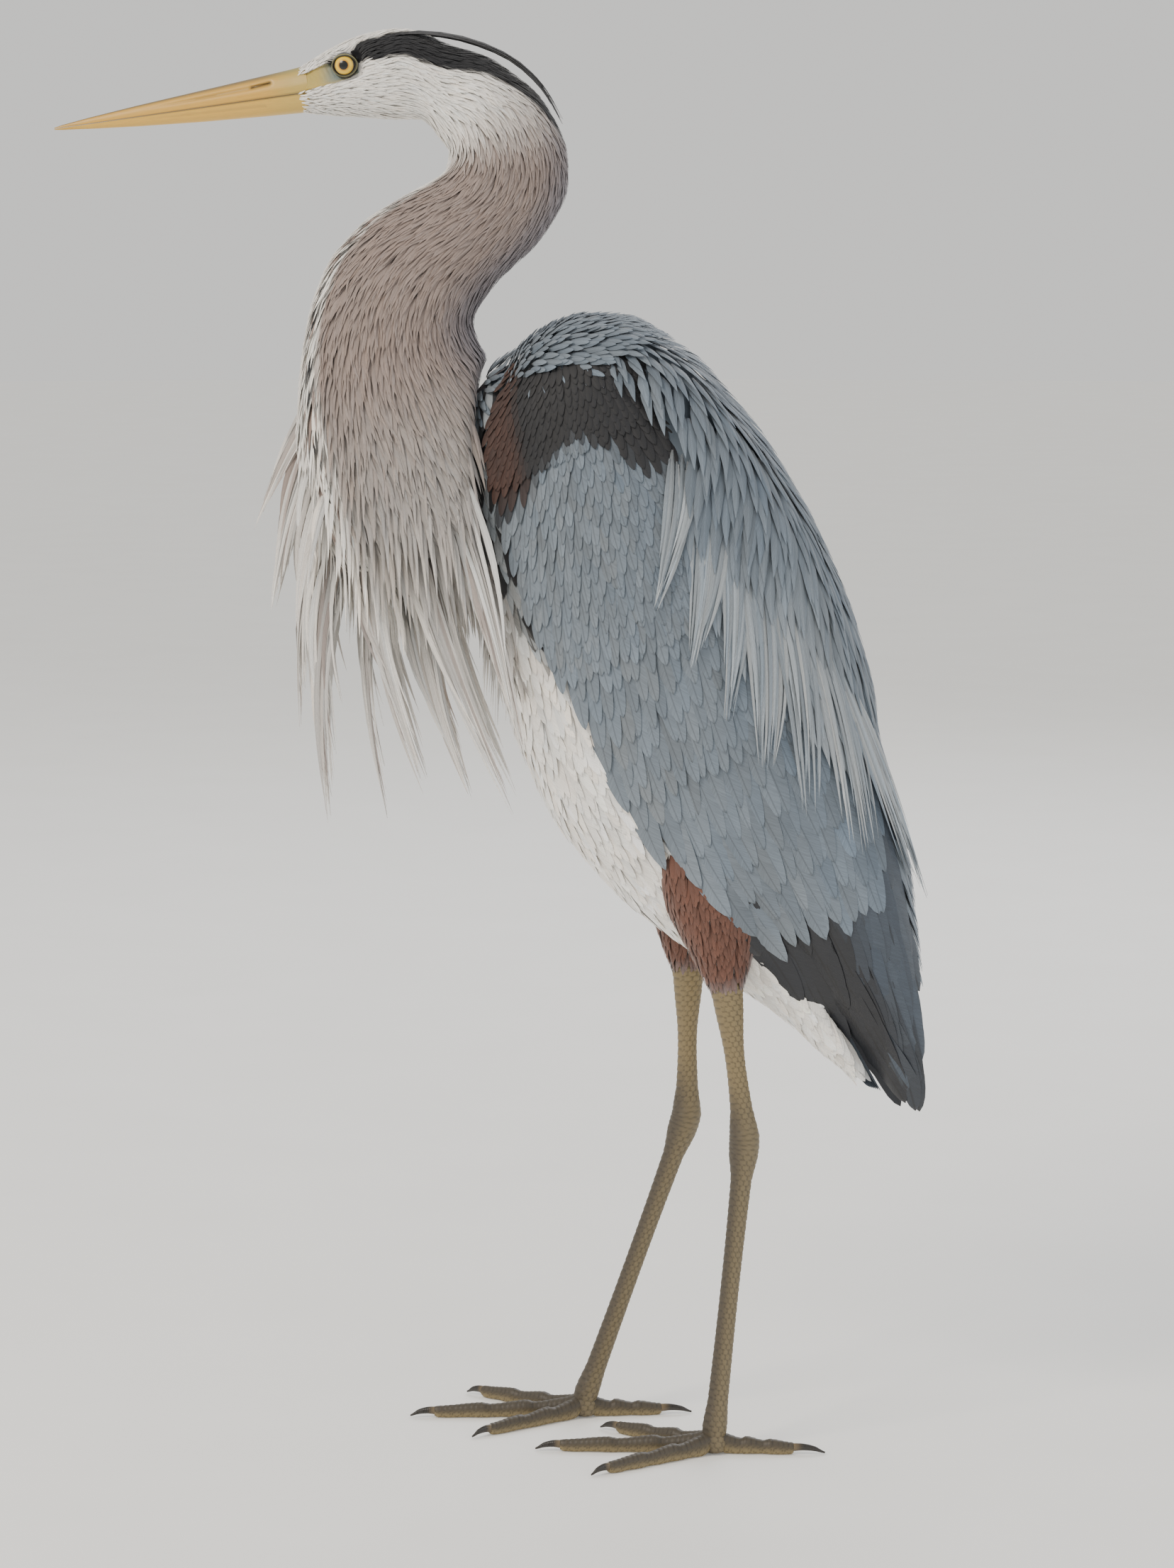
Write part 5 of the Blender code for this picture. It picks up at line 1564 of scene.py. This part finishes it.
for side, sign in (("left", 1), ("right", -1)):
    middle = head_at(EYE_BACK, EYE_UP, sign * EYE_OUT)
    gaze = unit(LEFT * sign * 1.0 - rearward * 0.10)
    over = unit(upward - (upward @ gaze) * gaze)
    fore = np.cross(gaze, over)
    polar = np.radians(np.concatenate([np.linspace(0.4, 50, 64), np.linspace(54, 178, 26)]))
    turn = once_round(72)
    degrees = np.degrees(polar)[:, None] + 0 * turn
    bulge = 0.45 * step(-degrees, -IRIS - 4, -8)  # the cornea stands a little proud of the ball
    radius = EYE_RADIUS - 0.15 + bulge
    direction = (np.cos(polar)[:, None, None] * gaze + np.sin(polar)[:, None, None] * (
        np.cos(turn)[:, None] * over + np.sin(turn)[:, None] * fore))
    tint = blend(paint("#050505"), paint("#c98a17"), step(degrees, PUPIL - 0.5, PUPIL + 0.7))
    tint = blend(tint, paint("#f2c62e"), step(degrees, PUPIL + 1, PUPIL + 9))
    tint = blend(tint, paint("#9a7414"), step(degrees, IRIS - 7, IRIS - 1) * 0.6)
    tint = blend(tint, paint("#1b150c"), step(degrees, IRIS - 0.5, LIMBUS - 2))
    ball = surfaced(f"eyeball_{side}", middle + direction * radius[..., None], eye_matter, tint)
    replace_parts(ball, f"eye_{side}")
    around = once_round(120)
    spoke = np.cos(around)[:, None] * over + np.sin(around)[:, None] * fore
    oval = (6.15 - 0.35 * np.cos(2 * around) + 0.30 * np.abs(np.sin(around)) ** 12  # lids meet in two corners
            - 0.45 * np.maximum(np.cos(around), 0) ** 2)
    lean = np.arcsin(oval / EYE_RADIUS)
    edge_way = np.cos(lean)[:, None] * gaze + np.sin(lean)[:, None] * spoke
    slope = -np.sin(lean)[:, None] * gaze + np.cos(lean)[:, None] * spoke
    for number, (lift, spread, thick, colour) in enumerate(LIDS):
        loop = once_round(14)
        beads = 1 + 0.10 * np.sin(around * 34)[:, None]
        heavier = (1 + 0.25 * np.cos(around))[:, None]
        core = middle + edge_way * (EYE_RADIUS + lift) + slope * spread
        tube = core[:, None] + thick * (beads * heavier)[..., None] * (
            np.cos(loop)[:, None] * edge_way[:, None] + np.sin(loop)[:, None] * slope[:, None])
        tube = np.concatenate([tube, tube[:1]])
        surfaced(f"eyelid_{side}_{number}", tube, lid_skin, paint(colour))
pupil_width = 2 * EYE_RADIUS * math.sin(math.radians(PUPIL))
print(f"eyes of {2 * EYE_RADIUS} mm, with pupils of {pupil_width:.1f} mm")

# %% [markdown]
# ## Legs, toes and claws
# Below the thighs a heron's leg is bare. Its scales are folds of one horny skin: broad plates across the
# front, small six-sided shields on the sides and behind, wrinkles at the hock, which is the bird's ankle, and
# soft pads under the toes. Each leg is one surface, and the scales are raised on it by a height function.

# %% Scale heights
PLATE, SHIELD = 5.0, 3.7  # millimetres along the leg


def plates(along, size):
    """Broad plates that each overlap the next: a slow rise, then a sharp step down."""
    place = along / size % 1
    return place**0.7 * (1 - step(place, 0.86, 1.0))


def shields(along, around, size):
    """Six-sided shields: raised in the middle, with furrows between them."""
    best = np.full(along.shape, 1e9)
    second = best.copy()
    row = np.round(along / (size * 0.866))
    for shift in (-1, 0, 1):
        line = row + shift
        offset = 0.5 * (line % 2)
        column = np.round(around / size - offset)
        for step_over in (-1, 0, 1):
            gap = np.hypot(along - line * size * 0.866, around - (column + step_over + offset) * size)
            second = np.minimum(second, np.maximum(gap, best))
            best = np.minimum(best, gap)
    return step(second - best, 0.0, size * 0.36)


LEG_SIZES = [  # share of the shank, half width, depth in front, depth behind
    (0.55, 8.6, 10.0, 10.6), (0.60, 7.8, 9.0, 9.6), (0.76, 5.4, 6.0, 6.2), (0.91, 5.8, 6.6, 7.0),
    (1.0, 7.8, 9.2, 9.4),
]
TARSUS_SIZES = [  # share of the tarsus, and the same
    (0.0, 7.8, 9.2, 9.4), (0.05, 7.4, 8.6, 9.4), (0.14, 5.2, 6.0, 7.0), (0.5, 4.6, 5.4, 6.0),
    (0.88, 5.4, 6.2, 6.4), (0.97, 7.6, 7.8, 7.4), (1.0, 7.4, 7.4, 7.0),
]
BALL_SIZES = [(11, 7.4), (8, 8.3), (5, 8.6), (2.5, 8.0), (1.0, 6.6), (0.3, 4.5)]  # height, radius at the foot
LEG_FRONT, LEG_BACK, SHANK_PALE = (paint(c) for c in ("#4d4538", "#76694e", "#8a7955"))
# the first colour is a painted shade for the furrows between scales; the sole's colour is its own
FURROW_SHADE, SOLE = (paint(c) for c in ("#2b261f", "#94835c"))
LEG_GIRTH, TOE_GIRTH = 6.0, 4.4  # radii at which places round a leg or a toe are measured
scaly = tinted_material("horny leg scales", 0.6, 1.0, 0.12, 0.10, Roughness=0.48, IOR=1.5)
claw_keratin = tinted_material("dark claw keratin", 0.25, 8.0, 0.10, 0.05, Roughness=0.3, IOR=1.55)
print("plates of", PLATE, "mm and shields of", SHIELD, "mm")

# %% Both legs from the feathers down to the foot
LEG_SIDES = 64
for side, (sign, hip, hock, foot) in LEGS.items():
    hip, hock, foot = (np.array(p, float) for p in (hip, hock, foot))
    shares = np.linspace(0.55, 1, 130)
    upper = hip + shares[:, None] * (hock - hip)
    upper_sizes = sized(LEG_SIZES, shares)
    shares = np.linspace(0, 1, 226)[1:]
    lower = hock + shares[:, None] * (foot - hock)
    lower_sizes = sized(TARSUS_SIZES, shares)
    heights = np.linspace(11, 0.3, 15)[1:]
    ball = foot * (1, 1, 0) + heights[:, None] * np.array([0, 0, 1.0])
    ball_sizes = np.interp(-heights, *zip(*((-height, radius) for height, radius in BALL_SIZES)))
    line = np.concatenate([upper, lower, ball])
    sizes = np.concatenate([upper_sizes, lower_sizes, np.repeat(ball_sizes[:, None], 3, 1)])
    for _ in range(10):
        line[1:-1] = (line[:-2] + 2 * line[1:-1] + line[2:]) / 4
    run = np.concatenate([[0], np.cumsum(np.linalg.norm(np.diff(line, axis=0), axis=-1))])
    hock_run = run[len(upper) - 1]
    ahead = unit(np.gradient(line, axis=0))
    across = unit(LEFT * sign - (ahead @ (LEFT * sign))[:, None] * ahead)
    front = np.cross(ahead, across)
    front *= -np.sign(front[:, :1])
    turn = once_round(LEG_SIDES)  # 0 faces front
    fore = np.where(np.cos(turn) > 0, sizes[:, 1:2], sizes[:, 2:3])
    flat = (front[:, None] * (np.cos(turn) * fore)[..., None]
            + across[:, None] * (np.sin(turn) * sizes[:, :1])[..., None])
    outward = unit(flat)
    s = run[:, None] + 0 * turn
    girth = np.minimum(turn, math.tau - turn) * LEG_GIRTH + 0 * s
    to_hock = np.abs(s - hock_run)
    in_front = step(-girth, -6.6, -5.4) * step(to_hock, 12, 17)
    height = in_front * plates(s, PLATE) + (1 - in_front) * shields(s, girth, SHIELD)
    at_hock = step(-to_hock, -13, -5)
    wrinkles = 0.5 + 0.5 * np.sin(s * 2.1 + 0.8 * np.cos(turn * 3)) * at_hock
    height = height * (1 - 0.6 * at_hock) + 0.6 * wrinkles * at_hock
    knob = 0.9 * np.exp(-((to_hock / 6.5) ** 2)) * np.abs(np.sin(turn)) ** 2  # the bones' ends at each side
    points = line[:, None] + flat + outward * (0.42 * height - 0.30 + knob)[..., None]
    points[..., 2] = np.maximum(points[..., 2], 0.05)
    dark = step(np.cos(turn), -0.4, 0.7) + 0 * s
    tint = blend(LEG_BACK, LEG_FRONT, dark)
    tint = blend(tint, SHANK_PALE, step(-s, -hock_run + 6, -hock_run + 46) * 0.75)
    # painted shade: where the scales' height is low, in the furrows between them, the colour is darker
    tint = blend(tint, FURROW_SHADE, (1 - step(height, 0.0, 0.6)) * 0.55)
    leg = surfaced(f"leg_{side}", points, scaly, tint)
    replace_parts(leg, f"shank_{side}", f"tarsus_{side}")
print("legs", points.shape)

# %% [markdown]
# The toes lie flat. Each has plates across its top, pads below its joints, and a claw. The claw of the middle
# toe has a comb on its inner edge, with which a heron preens.

# %% Toes and claws
TOES = {  # degrees from straight ahead, length, claw's length, how many pads
    "middle": (-2, 92, 15, 4), "inner": (-36, 70, 13, 3), "outer": (34, 76, 12, 5), "hind": (176, 46, 19, 2),
}
TOE_SIZES = [  # share of the toe, height of its middle, half width, half height
    (0.0, 8.0, 5.2, 6.0), (0.1, 5.6, 5.2, 6.4), (0.3, 4.4, 4.2, 5.0), (0.37, 4.9, 4.8, 5.6),
    (0.6, 3.8, 3.7, 4.4), (0.68, 4.2, 4.2, 4.9), (0.93, 3.4, 3.2, 4.0), (0.975, 3.5, 3.1, 3.7),
    (1.0, 3.7, 2.4, 2.9),
]
CLAW_SIZES = [(0.0, 4.0, 2.1, 2.6), (0.35, 4.3, 1.7, 2.2), (0.7, 3.3, 1.2, 1.6), (1.0, 1.1, 0.5, 0.6)]
CLAW_GAP = 0.3  # where a claw's length starts, from the end of its toe
CLAW_ROOT = 2.0  # how much of a claw lies inside its toe
CLAW_BASE, CLAW_TIP = paint("#6f5f45"), paint("#2b2723")
COMB_TEETH = 15


def rod(start, ahead, length, sizes, count, sides):
    """Rings of a toe or claw that lies along the floor, with the angle of each point and the shares."""
    shares = np.linspace(0, 1, count)
    middle, half, tall = sized(sizes, shares).T
    turn = once_round(sides)  # 0 faces up
    across = np.array([-ahead[1], ahead[0], 0])
    centre = start + ahead * (length * shares)[:, None] + np.array([0, 0, 1.0]) * middle[:, None]
    flat = (np.array([0, 0, 1.0]) * (np.cos(turn) * tall[:, None])[..., None]
            + across * (np.sin(turn) * half[:, None])[..., None])
    return centre, flat, turn, shares


for side, (sign, _, _, foot) in LEGS.items():
    for toe, (angle, length, claw_length, pads) in TOES.items():
        angle = math.radians(angle)
        ahead = np.array([-math.cos(angle), -sign * math.sin(angle), 0])
        start = np.array([foot[0], foot[1], 0]) + ahead * 3
        centre, flat, turn, shares = rod(start, ahead, length, TOE_SIZES, int(length / 0.75), 36)
        s = shares[:, None] * length + 0 * turn
        girth = np.minimum(turn, math.tau - turn) * TOE_GIRTH + 0 * s
        on_top = step(-girth, -6.0, -5.0)
        height = on_top * plates(s, 3.3) + (1 - on_top) * shields(s, girth, 2.0)
        bulge = 0.5 - 0.5 * np.cos(math.tau * np.clip(shares * pads - 0.1, 0, pads))
        bulge = 0.55 * bulge[:, None] * step(-np.cos(turn), -0.3, 0.8)
        points = centre[:, None] + flat + unit(flat) * (0.34 * height - 0.26 + bulge)[..., None]
        points[..., 2] = np.maximum(points[..., 2], 0.04)
        tint = blend(LEG_FRONT * 0.85, SOLE, step(-np.cos(turn), -0.5, 0.9) + 0 * s)
        # painted shade in the furrows between the toe's scales
        tint = blend(tint, FURROW_SHADE, (1 - step(height, 0.0, 0.5)) * 0.6)
        piece = surfaced(f"toe_skin_{toe}_{side}", points, scaly, tint)
        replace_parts(piece, f"toe_{toe}_{side}")
        root = start + ahead * (length + CLAW_GAP - CLAW_ROOT)
        centre, flat, turn, shares = rod(root, ahead, claw_length + CLAW_ROOT, CLAW_SIZES, 48, 24)
        points = centre[:, None] + flat
        if toe == "middle":
            inner = step(np.sin(turn), 0.5, 0.95)
            teeth = 0.5 + 0.5 * np.sin(shares * math.tau * COMB_TEETH)
            teeth = (teeth * step(shares, 0.2, 0.3) * step(-shares, -0.9, -0.75))[:, None]
            points += unit(flat) * (0.45 * teeth * inner)[..., None]
        points[..., 2] = np.maximum(points[..., 2], 0.04)
        tint = blend(CLAW_BASE, CLAW_TIP, step(shares, 0.05, 0.4)[:, None] + 0 * turn)
        piece = surfaced(f"claw_horn_{toe}_{side}", points, claw_keratin, tint, 60.0)
        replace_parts(piece, f"claw_{toe}_{side}")
print("eight toes, the longest", TOES["middle"][1] + TOES["middle"][2], "mm with its claw")

# %% [markdown]
# ## The whole bird
# Every piece rides on the one body, as a heron that stands still has no joint to move.

# %% Count the coat's triangles, and finish
print("coat of", sum(coat.values()), "triangles in", len(coat), "pieces")
